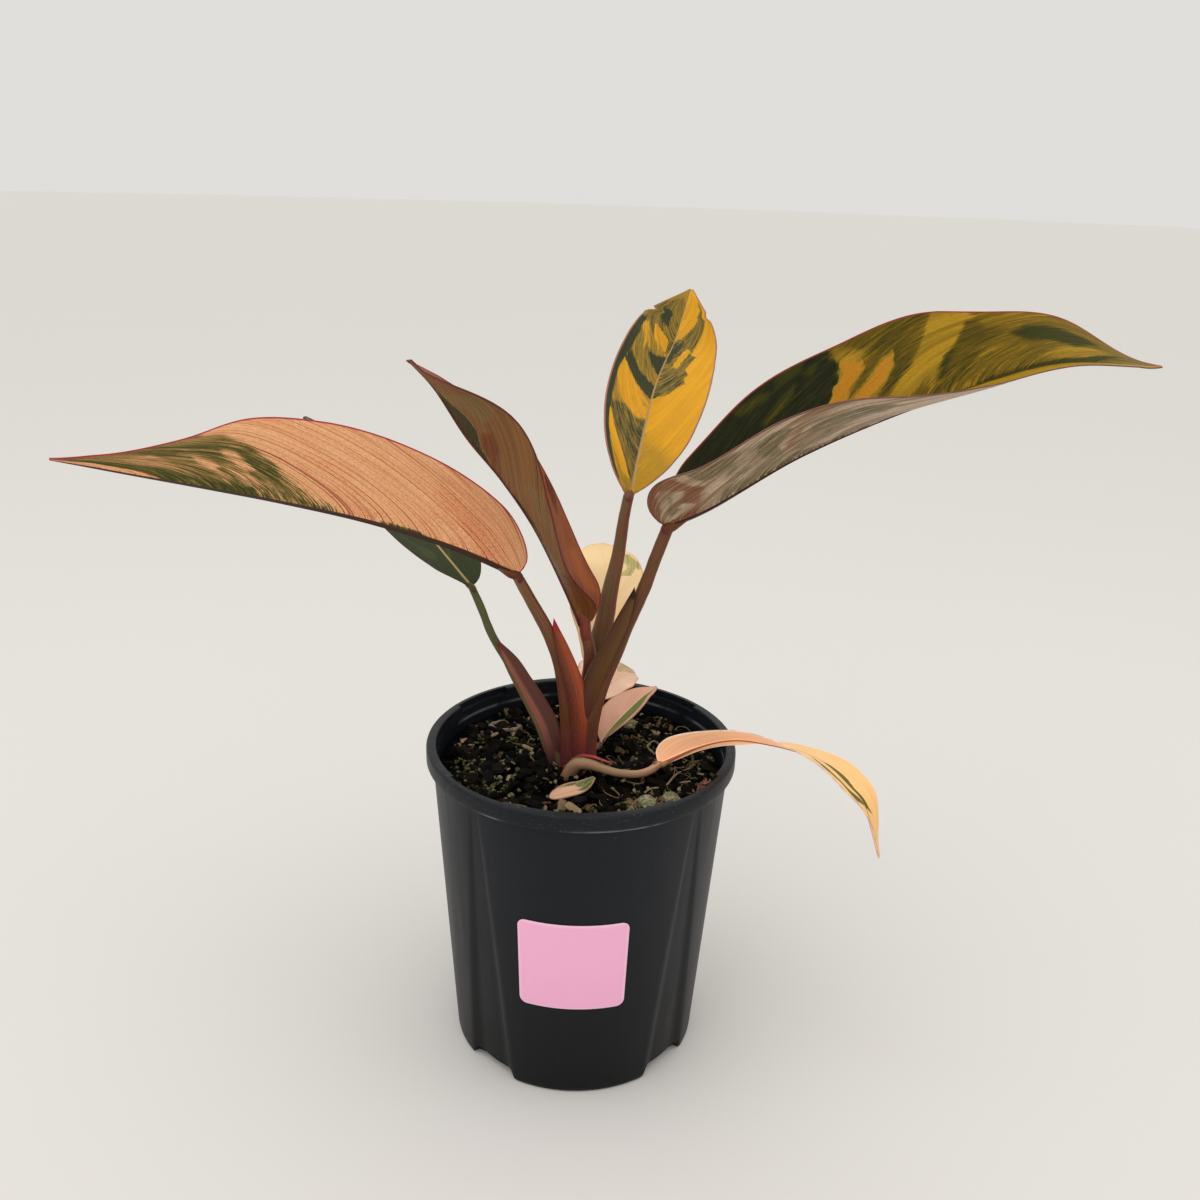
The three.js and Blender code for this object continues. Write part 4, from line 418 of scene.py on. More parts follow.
# Tones of each blade's upper face and underside.
BLADE_TONES = {
    "left": (
        face_tones("#ecb078 #f4be88 #94782e #34461a #8a4626 #3e2c20 #8e2836", blush="#d87c50",
            spot="#d88856", speckle=0.4, spacing=7.4),
        face_tones("#f2b884 #f6c290 #8e7034 #38481c #8a4020 #3e2c20 #aa2a38", blush="#d8744c",
            dots=0.6, spot="#ca6c42", speckle=0.55, deep="#24300e", vein_strength=0.9, wander=1.2,
            spacing=7.4)),
    "right": (
        face_tones("#bc9622 #94761a #5e4c0a #2c340a #7c6a1c #5a4418 #9c3a30", blush="#cc8a20",
            deep="#0f1a0e", spot="#7c5e1c", wander=0.62, blur=0.12, speckle=0.4,
            vein_strength=0.25, gloss=0.12),
        # The underside's light pale shift and pale veins are partly its own silvery colour and
        # partly a painted sheen.
        face_tones("#866642 #ccb89e #6a5630 #42421a #d0c0ac #44221e #74443c", blush="#7e4628",
            wander=0.9, blur=0.2, speckle=0.5, spot="#7a5838", vein_strength=0.4, spacing=7.0,
            gloss=0.12)),
    "upright": (
        face_tones("#e6a60e #d49812 #70682a #1a281a #a87c18 #ac8c58 #a8745a", blush="#a8821c",
            spot="#b88420", wander=0.52, blur=0.05, speckle=0.3, vein_strength=0.3, gloss=0.2),
        face_tones("#c89858 #b88448 #76703c #414a2c #a06a3c #94703e #b06a58")),
    "rolled": (
        face_tones("#9c5a38 #8c4e30 #4c2416 #2c160c #52261a #5a2a1c #7c2a28", blush="#ae6436",
            wander=0.5, blur=0.15),
        face_tones("#8e6034 #7c5430 #827044 #2c220c #301a0a #5c221a #5e1c1c", blush="#743a1c",
            spot="#6a4426", speckle=0.4, vein_strength=0.8, spacing=5.8, wander=0.4, blur=0.12,
            gloss=0.2)),
    "lower_left": (
        face_tones("#5a6236 #4e5a30 #58602f #2d3a22 #3c4c2c #b49e6c #3c3a24", wander=0.4,
            blur=0.1, gloss=0.15),
        face_tones("#7a6a44 #6a5a3a #5a5c3c #4a5438 #6a7050 #7a6a48 #5a3a2c")),
    "drooping": (
        face_tones("#f8c886 #f4c280 #8a8a3a #57501c #dca264 #8a6a3a #f4c8a4", blush="#f8b284",
            spot="#f0b070", vein_strength=0.35, blur=0.1, wander=0.25),
        # The underside glows: painted light that lifts the shade on this downward face.
        face_tones("#f6bc90 #f0b286 #a09050 #5c5a2a #d49870 #8c5034 #f0ccb4", wander=0.4,
            glow=0.4, spot="#e8a87c")),
    "back": (
        face_tones("#ffe2ae #ffdca8 #b6b070 #8c9450 #f4d49c #f6dcb0 #eebc98", spot="#fbd8a0",
            wander=0.3, blur=0.06, vein_strength=0.3),
        face_tones("#f4d0a6 #f0c8a0 #9a9c6a #66704a #e0b48c #d8b08c #e0a88c")),
    "low_right": (
        face_tones("#e2b096 #dca88e #8c8450 #5e7438 #cc9880 #e4bca4 #d89c88", wander=0.55,
            vein_strength=0.25),
        face_tones("#d8a48c #d09a84 #84805a #5a6a44 #b88070 #c09484 #c08070")),
    "low_back": (
        face_tones("#eecab0 #e8c2a6 #b0a474 #7c8050 #d8b094 #e0bca0 #c89880", wander=0.4,
            vein_strength=0.25),
        face_tones("#e0bca2 #d8b298 #948e68 #6a704e #c09c84 #c8a890 #c08878")),
}

# Tones of each stalk at its foot, middle and top and of its stripes, then of its sheath's
# inner side, outer edge and hook.
STALK_TONES = {
    "left": ("#5a2230", "#643822", "#84603e", "#82402a", "#5e321e", "#a64a2a", "#9c1e28"),
    "right": ("#5c2030", "#5a3a1e", "#68462a", "#7c4028", "#64421e", "#4c2c16", "#221010"),
    "upright": ("#50381f", "#6c5234", "#644c2e", "#8a2a26"),
    "rolled": ("#702c26", "#7c3428", "#7a5038", "#a05a4a"),
    "lower_left": ("#4e3424", "#56522e", "#62663e", "#4e4626"),
    "drooping": ("#3e3a24", "#948458", "#cc9c7a", "#a2745c", "#8a4038", "#a03c44", "#8c3038"),
    "back": ("#8a6a50", "#b08e6c", "#d0a880", "#b89074"),
    "low_right": ("#7a3438", "#94544c", "#b07c68", "#a0605a"),
    "low_back": ("#7a5240", "#9a7a62", "#bc9c80", "#a88068"),
}
# The boat-shaped sheath's foot, outside, hollow, far wall and rim.
BOAT_TONES = ("#4a2428", "#5c5a30", "#a25e50", "#60382a", "#6e2c26")


# ---- numbers along a line


def along(values, share):
    """Listed values met smoothly one after another, at shares of a line's length."""
    rows = np.asarray(values, float)
    flat = rows.reshape(len(rows), -1)
    known = np.vstack([2 * flat[0] - flat[1], flat, 2 * flat[-1] - flat[-2]])
    place = np.clip(share, 0, 1) * (len(rows) - 1)
    first = np.minimum(place.astype(int), len(rows) - 2)
    t = (place - first)[:, None]
    before, start, end, after = (known[first + k] for k in range(4))
    start_slope = (end - before) / 2
    end_slope = (after - start) / 2
    met = ((2 * t**3 - 3 * t**2 + 1) * start + (t**3 - 2 * t**2 + t) * start_slope
           + (3 * t**2 - 2 * t**3) * end + (t**3 - t**2) * end_slope)
    return met.reshape(len(share), *rows.shape[1:])


def unit(vectors):
    """The same directions with length one."""
    return vectors / np.linalg.norm(vectors, axis=-1, keepdims=True)


def frames_along(points, face, share):
    """Places, forward, up and side directions at shares of a route, and its length."""
    fine = np.linspace(0, 1, 401)
    gaps = np.linalg.norm(np.diff(along(points, fine), axis=0), axis=1)
    run = np.concatenate([[0], np.cumsum(gaps)])
    at = np.interp(share, run / run[-1], fine)
    near = 1e-3
    before, after = np.maximum(at - near, 0), np.minimum(at + near, 1)
    forward = unit(along(points, after) - along(points, before))
    up = along(face, share)
    up = unit(up - (up * forward).sum(1, keepdims=True) * forward)
    return along(points, at), forward, up, np.cross(forward, up), run[-1]


def length_of(route):
    """The length of a stalk or blade along its route."""
    return frames_along(route["points"], route["face"], np.array([0.5]))[4]


def mix_height(x, y):
    """Height of the mix at a place: low swells, a mound at the crown, a fall to the wall."""
    swell = np.sin(x * 0.21 + 1) * np.cos(y * 0.17) + np.sin(x * 0.4 - y * 0.33) * 0.6
    away = (x - CROWN_PLACE[0]) ** 2 + (y - CROWN_PLACE[1]) ** 2
    mound = np.exp(-away / MOUND_SPREAD**2)
    slope = (x**2 + y**2) / MIX_TURN_RADIUS**2
    return MIX_LEVEL + MIX_SWELL * swell + MIX_MOUND * mound - MIX_SLOPE * slope


def on_mix(x, y, lift=0.0):
    """A place on the mix, lifted above it."""
    return x, y, float(mix_height(np.float64(x), np.float64(y))) + lift


# ---- mesh work


def added(name, operator, **values):
    """The object that an operator adds, under a name and selected alone."""
    bpy.ops.object.select_all(action="DESELECT")
    operator(**values)
    made = bpy.context.active_object
    made.name = name
    return made


def only(piece):
    """Selects one piece alone and makes it active."""
    bpy.ops.object.select_all(action="DESELECT")
    piece.select_set(True)
    bpy.context.view_layer.objects.active = piece


def points_of(piece):
    """A piece's points in millimetres."""
    flat = np.zeros(len(piece.data.vertices) * 3)
    piece.data.vertices.foreach_get("co", flat)
    return flat.reshape(-1, 3) / MM


def set_points(piece, points):
    """Moves a piece's points to places in millimetres."""
    piece.data.vertices.foreach_set("co", (np.asarray(points) * MM).ravel())
    piece.data.update()


def set_field(piece, name, values):
    """Keeps a number or a triple of numbers at each point, for the materials to read."""
    values = np.asarray(values, float)
    kind = "FLOAT_VECTOR" if values.ndim == 2 else "FLOAT"
    layer = piece.data.attributes.new(name, kind, "POINT")
    layer.data.foreach_set("vector" if values.ndim == 2 else "value", values.ravel())


def edited(piece, *steps):
    """Runs edit-mode steps on all of a piece."""
    only(piece)
    bpy.ops.object.mode_set(mode="EDIT")
    bpy.ops.mesh.select_all(action="SELECT")
    for step in steps:
        step()
    bpy.ops.object.mode_set(mode="OBJECT")


def merge_doubles():
    """Merges points that lie on each other."""
    bpy.ops.mesh.remove_doubles(threshold=1e-6)


def face_outwards():
    """Turns all faces outwards."""
    bpy.ops.mesh.normals_make_consistent(inside=False)


def apply_modifier(piece, kind, **values):
    """Adds a modifier with these settings and applies it."""
    only(piece)
    bpy.ops.object.modifier_add(type=kind)
    added = piece.modifiers[-1]
    for name, value in values.items():
        setattr(added, name, value)
    bpy.ops.object.modifier_apply(modifier=added.name)


def joined(pieces, name):
    """Several pieces as one mesh under one name."""
    only(pieces[0])
    for piece in pieces[1:]:
        piece.select_set(True)
    bpy.ops.object.join()
    pieces[0].name = name
    return pieces[0]


def finish_piece(piece, name, nodes, materials, angle=40.0):
    """Names a piece, gives it its finish, and sets it on the body in place of its solids."""
    only(piece)
    bpy.ops.object.transform_apply(location=True, rotation=True, scale=True)
    bpy.ops.object.shade_smooth_by_angle(angle=math.radians(angle))
    piece.name = name
    piece.data.name = name
    if materials:
        piece.data.materials.clear()
        for material in materials:
            piece.data.materials.append(material)
    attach(piece, "root")
    if nodes:
        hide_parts(*nodes)


def grid(name, rows, columns):
    """A flat grid, and the row and column share of each of its points."""
    piece = added(name, bpy.ops.mesh.primitive_grid_add, x_subdivisions=rows,
                  y_subdivisions=columns, size=1)
    flat = points_of(piece) * MM + 0.5
    return piece, flat[:, 0], flat[:, 1]


def spun(name, profile, steps):
    """A body of revolution from [radius, height] points, drawn by extruding one point."""
    piece = added(name, bpy.ops.mesh.primitive_plane_add, size=MM)
    start = Vector((profile[0][0] * MM, 0, profile[0][1] * MM))
    bpy.ops.object.mode_set(mode="EDIT")
    bpy.ops.mesh.select_all(action="SELECT")
    bpy.ops.mesh.merge(type="CENTER")
    bpy.ops.transform.translate(value=start)
    place = start
    for radius, height in profile[1:]:
        following = Vector((radius * MM, 0, height * MM))
        move = {"value": following - place}
        bpy.ops.mesh.extrude_region_move(TRANSFORM_OT_translate=move)
        place = following
    bpy.ops.mesh.select_all(action="SELECT")
    bpy.ops.mesh.spin(steps=steps, angle=2 * math.pi, center=(0, 0, 0), axis=(0, 0, 1))
    bpy.ops.mesh.select_all(action="SELECT")
    merge_doubles()
    face_outwards()
    bpy.ops.object.mode_set(mode="OBJECT")
    return piece


def crumpled(points, amount, size, seed):
    """Points moved by up to an amount by soft noise with swells of a size, in mm."""
    noise.seed_set(NOISE_SEED)
    moved = []
    for x, y, z in points:
        shift = noise.noise_vector((x / size + seed, y / size, z / size - seed))
        moved.append((x + shift.x * amount, y + shift.y * amount, z + shift.z * amount))
    return np.array(moved)


def tube(name, route, rings, sides, section):
    """A body carried along a route. section gives across and deep for turns of a ring.

    Its fields are its run in mm, and its share of the length, side and angle as "stem".
    """
    piece, share, turn = grid(name, rings, sides)
    place, forward, up, side, length = frames_along(route["points"], route["face"], share)
    wide = along(route["half_widths"], share)
    deep = along(route["half_depths"], share)
    angle = turn * 2 * math.pi
    across, rise = section(angle)
    hook = route["hook"] * share**8 * across
    points = (place + side * (wide * across)[:, None] + up * (deep * rise)[:, None]
              + forward * hook[:, None])
    set_points(piece, points)
    set_field(piece, "stem", np.stack([share, across, angle], 1))
    set_field(piece, "run", share * length)
    edited(piece, merge_doubles)
    edited(piece, bpy.ops.mesh.region_to_loop, bpy.ops.mesh.edge_face_add)
    edited(piece, face_outwards)
    return piece


# ---- materials


class Wiring:
    """Adds and links the nodes of one material or group."""

    def __init__(self, tree):
        self.tree = tree

    def put(self, socket, value):
        """Sets a socket to a value, or links it to another socket."""
        if isinstance(value, bpy.types.NodeSocket):
            self.tree.links.new(value, socket)
        else:
            socket.default_value = value

    def node(self, kind, inputs=None, **settings):
        """A new node of a kind with its settings and inputs."""
        made = self.tree.nodes.new("ShaderNode" + kind)
        for name, value in settings.items():
            setattr(made, name, value)
        for key, value in (inputs or {}).items():
            self.put(made.inputs[key], value)
        return made

    def maths(self, operation, *values):
        """A Math node's result."""
        made = self.node("Math", operation=operation)
        for socket, value in zip(made.inputs, values):
            self.put(socket, value)
        return made.outputs[0]

    def plus(self, first, second):
        """A sum."""
        return self.maths("ADD", first, second)

    def minus(self, first, second):
        """A difference."""
        return self.maths("SUBTRACT", first, second)

    def times(self, first, second):
        """A product."""
        return self.maths("MULTIPLY", first, second)

    def size(self, value):
        """A number without its sign."""
        return self.maths("ABSOLUTE", value)

    def blend(self, share, first, second):
        """A colour between two, by a share."""
        made = self.node("Mix", data_type="RGBA")
        self.put(made.inputs[0], share)
        self.put(made.inputs[6], first)
        self.put(made.inputs[7], second)
        return made.outputs[2]

    def step(self, value, low, high):
        """0 below low, 1 above high, and smooth between them."""
        inputs = {"Value": value, "From Min": low, "From Max": high}
        return self.node("MapRange", inputs, interpolation_type="SMOOTHSTEP").outputs[0]

    def scaled(self, vector, factors):
        """A vector with each part multiplied."""
        return self.node("VectorMath", {0: vector, 1: factors}, operation="MULTIPLY").outputs[0]

    def noise(self, vector, scale, detail=3.0, roughness=0.5):
        """Soft noise from 0 to 1."""
        inputs = {"Vector": vector, "Scale": scale, "Detail": detail, "Roughness": roughness}
        return self.node("TexNoise", inputs).outputs[0]

    def parts(self, vector):
        """The three numbers of a vector."""
        return self.node("SeparateXYZ", {0: vector}).outputs

    def vector(self, x, y, z):
        """A vector of three numbers."""
        return self.node("CombineXYZ", {0: x, 1: y, 2: z}).outputs[0]

    def field(self, name, output="Vector"):
        """A named attribute of the mesh."""
        return self.node("Attribute", attribute_name=name).outputs[output]

    def place(self):
        """Object coordinates."""
        return self.node("TexCoord").outputs["Object"]

    def bump(self, height, distance, strength=0.5):
        """A normal from heights."""
        inputs = {"Height": height, "Distance": distance, "Strength": strength}
        return self.node("Bump", inputs).outputs[0]


def tone(code):
    """A linear colour from a #rrggbb code."""
    parts = [int(code[i:i + 2], 16) / 255 for i in (1, 3, 5)]
    return [c / 12.92 if c <= 0.04045 else ((c + 0.055) / 1.055) ** 2.4 for c in parts] + [1.0]


def shaded(colour, factor, lift=0.0):
    """A colour made darker or lighter."""
    return [min(c * factor + lift, 1.0) for c in list(colour)[:3]] + [1.0]


def new_material(name, roughness, specular):
    """A material, its wiring and its shader, with a plain roughness and specular level."""
    material = bpy.data.materials.new(name)
    material.use_nodes = True
    shader = material.node_tree.nodes["Principled BSDF"].inputs
    shader["Roughness"].default_value = roughness
    shader["Specular IOR Level"].default_value = specular
    return material, Wiring(material.node_tree), shader


def new_group(name, inputs, outputs):
    """A node group with its sockets: the tree, its wiring, and what goes in and comes out."""
    tree = bpy.data.node_groups.new(name, "ShaderNodeTree")
    for socket, kind in inputs.items():
        tree.interface.new_socket(socket, in_out="INPUT", socket_type="NodeSocket" + kind)
    for socket in outputs:
        tree.interface.new_socket(socket, in_out="OUTPUT", socket_type="NodeSocketFloat")
    given = tree.nodes.new("NodeGroupInput").outputs
    result = tree.nodes.new("NodeGroupOutput").inputs
    return tree, Wiring(tree), given, result


def use_group(wiring, tree, inputs):
    """A group placed in a material with its own values."""
    made = wiring.node("Group")
    made.node_tree = tree
    for key, value in inputs.items():
        wiring.put(made.inputs[key], value)
    return made.outputs


def leaf_pattern_group():
    """Variegation, veins, midrib and margin of a blade, from the fields kept on its mesh."""
    tree, w, given, result = new_group(
        "leaf_pattern",
        {"Green": "Float", "Grain": "Vector", "Edge": "Vector", "Wander": "Float",
         "Blur": "Float", "Vein Spacing": "Float"},
        ["Blush", "Olive", "Dark", "Deep", "Tone", "Fibre", "Speckle", "Vein", "Midrib",
         "Margin", "Height"])
    grain = given["Grain"]
    across, lengthwise, side = w.parts(grain)
    from_margin, from_midrib, rib = w.parts(given["Edge"])
    # how green: the painted patches, their borders broken up by streaks and blotches
    streaks = w.step(w.noise(w.scaled(grain, (1.2, 0.13, 9.7)), 1.0, 6.0, 0.76), 0.3, 0.7)
    blotches = w.noise(w.scaled(grain, (0.16, 0.05, 5.1)), 1.0, 2.0)
    both = w.plus(w.minus(streaks, 0.5), w.times(w.minus(blotches, 0.5), 0.6))
    green = w.plus(given["Green"], w.times(both, given["Wander"]))
    for name, level in (("Olive", 0.35), ("Dark", 0.65), ("Deep", 1.15)):
        low = w.minus(level, given["Blur"])
        w.put(result[name], w.step(green, low, w.plus(level, given["Blur"])))
    w.put(result["Blush"], w.step(w.times(green, -1.0), 0.7, 1.3))
    # tone, fibres and speckles
    broad = w.noise(w.scaled(grain, (0.16, 0.035, 3.3)), 1.0, 3.0)
    w.put(result["Tone"], w.step(broad, 0.35, 0.65))
    fibre = w.noise(w.scaled(grain, (3.2, 0.2, 2.0)), 1.0, 3.0, 0.6)
    w.put(result["Fibre"], w.step(fibre, 0.3, 0.7))
    speckle = w.noise(w.scaled(grain, (1.5, 1.1, 1.0)), 1.0, 3.0, 0.8)
    w.put(result["Speckle"], w.step(speckle, 0.42, 0.6))
    # side veins, uneven in strength, with thin ones between them
    sway = w.noise(w.vector(across, w.times(lengthwise, 0.03), side), 0.12, 1.0)
    count = w.plus(w.maths("DIVIDE", across, given["Vein Spacing"]), w.times(sway, 2.0))
    from_line = w.size(w.minus(w.maths("FRACT", count), 0.5))
    uneven = w.noise(w.vector(w.maths("FLOOR", count), side, 0.5), 1.7, 1.0)
    strength = w.plus(w.times(w.step(uneven, 0.3, 0.6), 0.5), 0.5)
    line = w.times(w.step(from_line, 0.43, 0.475), strength)
    from_thin = w.size(w.minus(w.maths("FRACT", w.times(count, 4.0)), 0.5))
    thin_line = w.times(w.step(from_thin, 0.34, 0.46), 0.45)
    w.put(result["Vein"], w.maths("MAXIMUM", line, thin_line))
    # midrib, margin and relief
    off_rib = w.step(from_midrib, w.times(rib, 0.6), w.times(rib, 0.85))
    w.put(result["Midrib"], w.minus(1.0, off_rib))
    w.put(result["Margin"], w.minus(1.0, w.step(from_margin, 0.25, 0.85)))
    relief = w.plus(w.times(line, -0.8), w.times(fibre, 0.5))
    w.put(result["Height"], w.plus(relief, w.times(speckle, 0.25)))
    return tree


def leaf_material(name, tones, pattern, roughness):
    """A blade face's finish from its tones."""
    material, w, shader = new_material(name, roughness, tones["gloss"])
    masks = use_group(w, pattern, {
        "Green": w.field("green", "Fac"), "Grain": w.field("grain"), "Edge": w.field("edge"),
        "Wander": tones["wander"], "Blur": tones["blur"], "Vein Spacing": tones["spacing"]})
    named = {key: tone(code) for key, code in tones.items() if isinstance(code, str)}
    colour = w.blend(masks["Tone"], named["pale"], named["pale_shift"])
    dots = w.plus(w.times(masks["Speckle"], tones["dots"]), 1.0 - tones["dots"])
    colour = w.blend(w.times(masks["Blush"], dots), colour, named["blush"])
    colour = w.blend(w.times(masks["Speckle"], tones["speckle"]), colour, named["spot"])
    for mask, main, fibre, share in (
            ("Olive", "olive", "pale_shift", 0.4), ("Dark", "dark", "olive", 0.3),
            ("Deep", "deep", "olive", 0.12)):
        streaked = w.blend(w.times(masks["Fibre"], share), named[main], named[fibre])
        colour = w.blend(masks[mask], colour, streaked)
    veins = w.times(masks["Vein"], tones["vein_strength"])
    clear = w.minus(1.0, w.times(masks["Dark"], 0.8))
    colour = w.blend(w.times(veins, clear), colour, named["vein"])
    colour = w.blend(masks["Midrib"], colour, named["midrib"])
    colour = w.blend(masks["Margin"], colour, named["margin"])
    w.put(shader["Base Color"], colour)
    # painted light: a face with a glow gives off light in its own colour
    if tones["glow"]:
        w.put(shader["Emission Color"], colour)
        shader["Emission Strength"].default_value = tones["glow"]
    w.put(shader["Roughness"], w.plus(w.times(masks["Fibre"], 0.12), roughness - 0.06))
    w.put(shader["Normal"], w.bump(masks["Height"], 0.00012, 0.6))
    return material


def rim_material(name, code):
    """The thin edge of a blade."""
    material, w, shader = new_material(name, 0.5, 0.4)
    patches = w.step(w.noise(w.place(), 220.0, 3.0), 0.35, 0.7)
    w.put(shader["Base Color"], w.blend(patches, tone(code), shaded(tone(code), 0.6)))
    return material


def streak_group():
    """Lengthwise streaks, speckles and relief of a stalk, from the field on its mesh."""
    tree, w, given, result = new_group(
        "stalk_streaks", {"Run": "Float", "Angle": "Float"},
        ["Streak", "Speckle", "Blotch", "Height"])
    angle = given["Angle"]
    around = w.vector(w.maths("COSINE", angle), w.maths("SINE", angle),
                      w.times(given["Run"], 0.02))
    streak = w.noise(w.scaled(around, (5.0, 5.0, 1.0)), 1.6, 4.0, 0.6)
    w.put(result["Streak"], w.step(streak, 0.35, 0.68))
    dots = w.noise(w.scaled(around, (8.0, 8.0, 45.0)), 1.5, 3.0, 0.7)
    w.put(result["Speckle"], w.step(dots, 0.5, 0.75))
    blotch = w.noise(w.scaled(around, (1.0, 1.0, 4.0)), 1.3, 2.0)
    w.put(result["Blotch"], w.step(blotch, 0.4, 0.65))
    w.put(result["Height"], w.plus(streak, w.times(dots, 0.4)))
    return tree


def new_stem_material(name, streaks):
    """What all stalks and sheaths share: the shader, the masks, and where a point lies."""
    material, w, shader = new_material(name, 0.42, 0.2)
    share, across, angle = w.parts(w.field("stem"))
    masks = use_group(w, streaks, {"Run": w.field("run", "Fac"), "Angle": angle})
    w.put(shader["Normal"], w.bump(masks["Height"], 0.0002))
    return material, w, shader, masks, share, across


def stalk_material(name, tones, streaks):
    """A stalk's finish: three tones from foot to top under streaks, speckles and a stripe."""
    foot, middle, top, stripe = (tone(code) for code in tones)
    material, w, shader, masks, share, across = new_stem_material(name, streaks)
    colour = w.blend(w.step(share, 0.03, 0.3), foot, middle)
    colour = w.blend(w.step(share, 0.5, 0.95), colour, top)
    colour = w.blend(w.times(w.step(across, 0.5, 0.95), 0.8), colour, stripe)
    colour = w.blend(w.times(masks["Streak"], 0.55), colour, shaded(middle, 0.35))
    colour = w.blend(w.times(masks["Speckle"], 0.35), colour, shaded(middle, 2.2, 0.03))
    colour = w.blend(w.times(masks["Blotch"], 0.25), colour, stripe)
    w.put(shader["Base Color"], colour)
    return material


def sheath_material(name, tones, outer_side, streaks):
    """A sheath's finish: like the stalk on its inner side, coloured at its edge and hook."""
    foot, body, edge, hook = (tone(code) for code in tones)
    material, w, shader, masks, share, across = new_stem_material(name, streaks)
    outwards = w.times(across, outer_side)
    colour = w.blend(w.step(outwards, -0.9, 0.7), body, edge)
    colour = w.blend(w.step(share, 0.0, 0.42), foot, colour)
    colour = w.blend(w.times(masks["Streak"], 0.5), colour, shaded(body, 0.4))
    colour = w.blend(w.times(masks["Speckle"], 0.3), colour, shaded(edge, 2.0, 0.02))
    tip = w.plus(share, w.times(outwards, 0.02))
    colour = w.blend(w.step(tip, 0.93, 0.965), colour, hook)
    w.put(shader["Base Color"], colour)
    return material


def boat_material(name, tones, streaks):
    """A boat-shaped sheath: green outside, pink in its hollow and brown on its far wall."""
    foot, outside, hollow, wall, rim = (tone(code) for code in tones)
    material, w, shader, masks, share, across = new_stem_material(name, streaks)
    colour = w.blend(w.step(across, -0.7, -0.6), outside, hollow)
    colour = w.blend(w.step(across, -0.25, 0.05), colour, wall)
    colour = w.blend(w.step(share, 0.0, 0.4), foot, colour)
    colour = w.blend(w.times(masks["Streak"], 0.45), colour, shaded(wall, 0.4))
    brim = w.maths("MAXIMUM", w.step(w.size(across), 0.9, 0.98), w.step(share, 0.9, 0.98))
    w.put(shader["Base Color"], w.blend(brim, colour, rim))
    return material


def grain_group():
    """Coarse and fine grain and the relief of a rough material, in object coordinates."""
    tree, w, given, result = new_group(
        "rough_grain", {"Vector": "Vector", "Scale": "Float"}, ["Coarse", "Fine", "Height"])
    coarse = w.noise(given["Vector"], given["Scale"], 4.0, 0.6)
    fine = w.noise(given["Vector"], w.times(given["Scale"], 7.0), 4.0, 0.65)
    w.put(result["Coarse"], w.step(coarse, 0.38, 0.62))
    w.put(result["Fine"], w.step(fine, 0.35, 0.65))
    w.put(result["Height"], w.plus(w.times(coarse, 0.6), fine))
    return tree


def rough_material(name, first, second, grain, scale, roughness, specular, shift=None,
                   relief=0.0006):
    """Bark, mix, roots and lumps: two tones over a grain, some shifted chip by chip."""
    material, w, shader = new_material(name, roughness, specular)
    masks = use_group(w, grain, {"Vector": w.place(), "Scale": scale})
    colour = w.blend(masks["Coarse"], tone(first), tone(second))
    if shift:
        colour = w.blend(w.field("tint", "Fac"), colour, tone(shift))
    colour = w.blend(w.times(masks["Fine"], 0.5), colour, shaded(tone(first), 0.35))
    w.put(shader["Base Color"], colour)
    w.put(shader["Normal"], w.bump(masks["Height"], relief, 0.8))
    return material


def pot_material(colour):
    """Moulded black plastic with vertical streaks, a scuffed rim, pale specks and painted shade
    towards the foot.
    """
    material, w, shader = new_material("pot_plastic", 0.4, 0.2)
    place = w.place()
    height = w.parts(place)[2]
    streaks = w.noise(w.scaled(place, (1.0, 1.0, 0.035)), 260.0, 4.0, 0.6)
    haze = w.noise(w.scaled(place, (1.0, 1.0, 0.5)), 38.0, 3.0, 0.55)
    specks = w.step(w.noise(place, 900.0, 2.0, 0.8), 0.71, 0.76)
    scuffs = w.step(w.noise(w.scaled(place, (1.0, 1.0, 3.0)), 420.0, 5.0, 0.75), 0.56, 0.74)
    on_rim = w.step(height, 0.1405, 0.1425)
    under_band = w.times(w.step(height, 0.1412, 0.142),
                         w.minus(1.0, w.step(height, 0.1424, 0.1434)))
    body = w.blend(w.times(haze, 0.6), shaded(colour, 1.0), shaded(colour, 2.0, 0.002))
    # painted shade: the plastic is darkened towards the foot, where less light falls
    painted_foot_shade = w.minus(1.0, w.step(height, -0.02, 0.12))
    body = w.blend(painted_foot_shade, body, shaded(colour, 0.25))
    rim_wear = w.times(w.times(scuffs, on_rim), 0.35)
    body = w.blend(rim_wear, body, tone("#5c6268"))
    # a pale line round the foot of the rim band, broken up by the haze
    pale_band_line = w.times(under_band, w.step(haze, 0.45, 0.62))
    body = w.blend(w.times(pale_band_line, 0.45), body, tone("#8c9094"))
    dust = w.times(specks, w.plus(w.times(on_rim, 0.6), 0.12))
    w.put(shader["Base Color"], w.blend(dust, body, tone("#b0aca6")))
    dull = w.times(w.maths("MAXIMUM", rim_wear, dust), 0.5)
    w.put(shader["Roughness"], w.plus(w.plus(w.times(streaks, 0.2), 0.33), dull))
    relief = w.plus(streaks, w.times(scuffs, on_rim))
    w.put(shader["Normal"], w.bump(relief, 0.00008))
    return material


def sticker_material(colour):
    """Pink paper, slightly paler at its edges, with faint creases from the corners."""
    material, w, shader = new_material("sticker_paper", 0.5, 0.35)
    x, y, _ = w.parts(w.field("flat"))
    out = w.maths("MAXIMUM", w.size(x), w.size(y))
    off_diagonal = w.size(w.minus(w.size(x), w.size(y)))
    crease = w.times(w.minus(1.0, w.step(off_diagonal, 0.0, 0.02)), w.step(out, 0.35, 0.7))
    paper = w.noise(w.place(), 1500.0, 3.0, 0.6)
    edge = w.times(w.step(out, 0.93, 0.985), 0.55)
    body = w.blend(w.times(w.step(y, 0.2, -0.9), 0.25), shaded(colour, 1.0),
                   shaded(colour, 0.9))
    body = w.blend(edge, body, tone("#f6cfe4"))
    body = w.blend(w.times(crease, 0.3), body, tone("#f4c4dc"))
    w.put(shader["Base Color"], w.blend(w.times(paper, 0.08), body, tone("#d98fb8")))
    relief = w.plus(w.times(paper, 0.2), crease)
    w.put(shader["Normal"], w.bump(relief, 0.0001))
    return material


# ---- settings


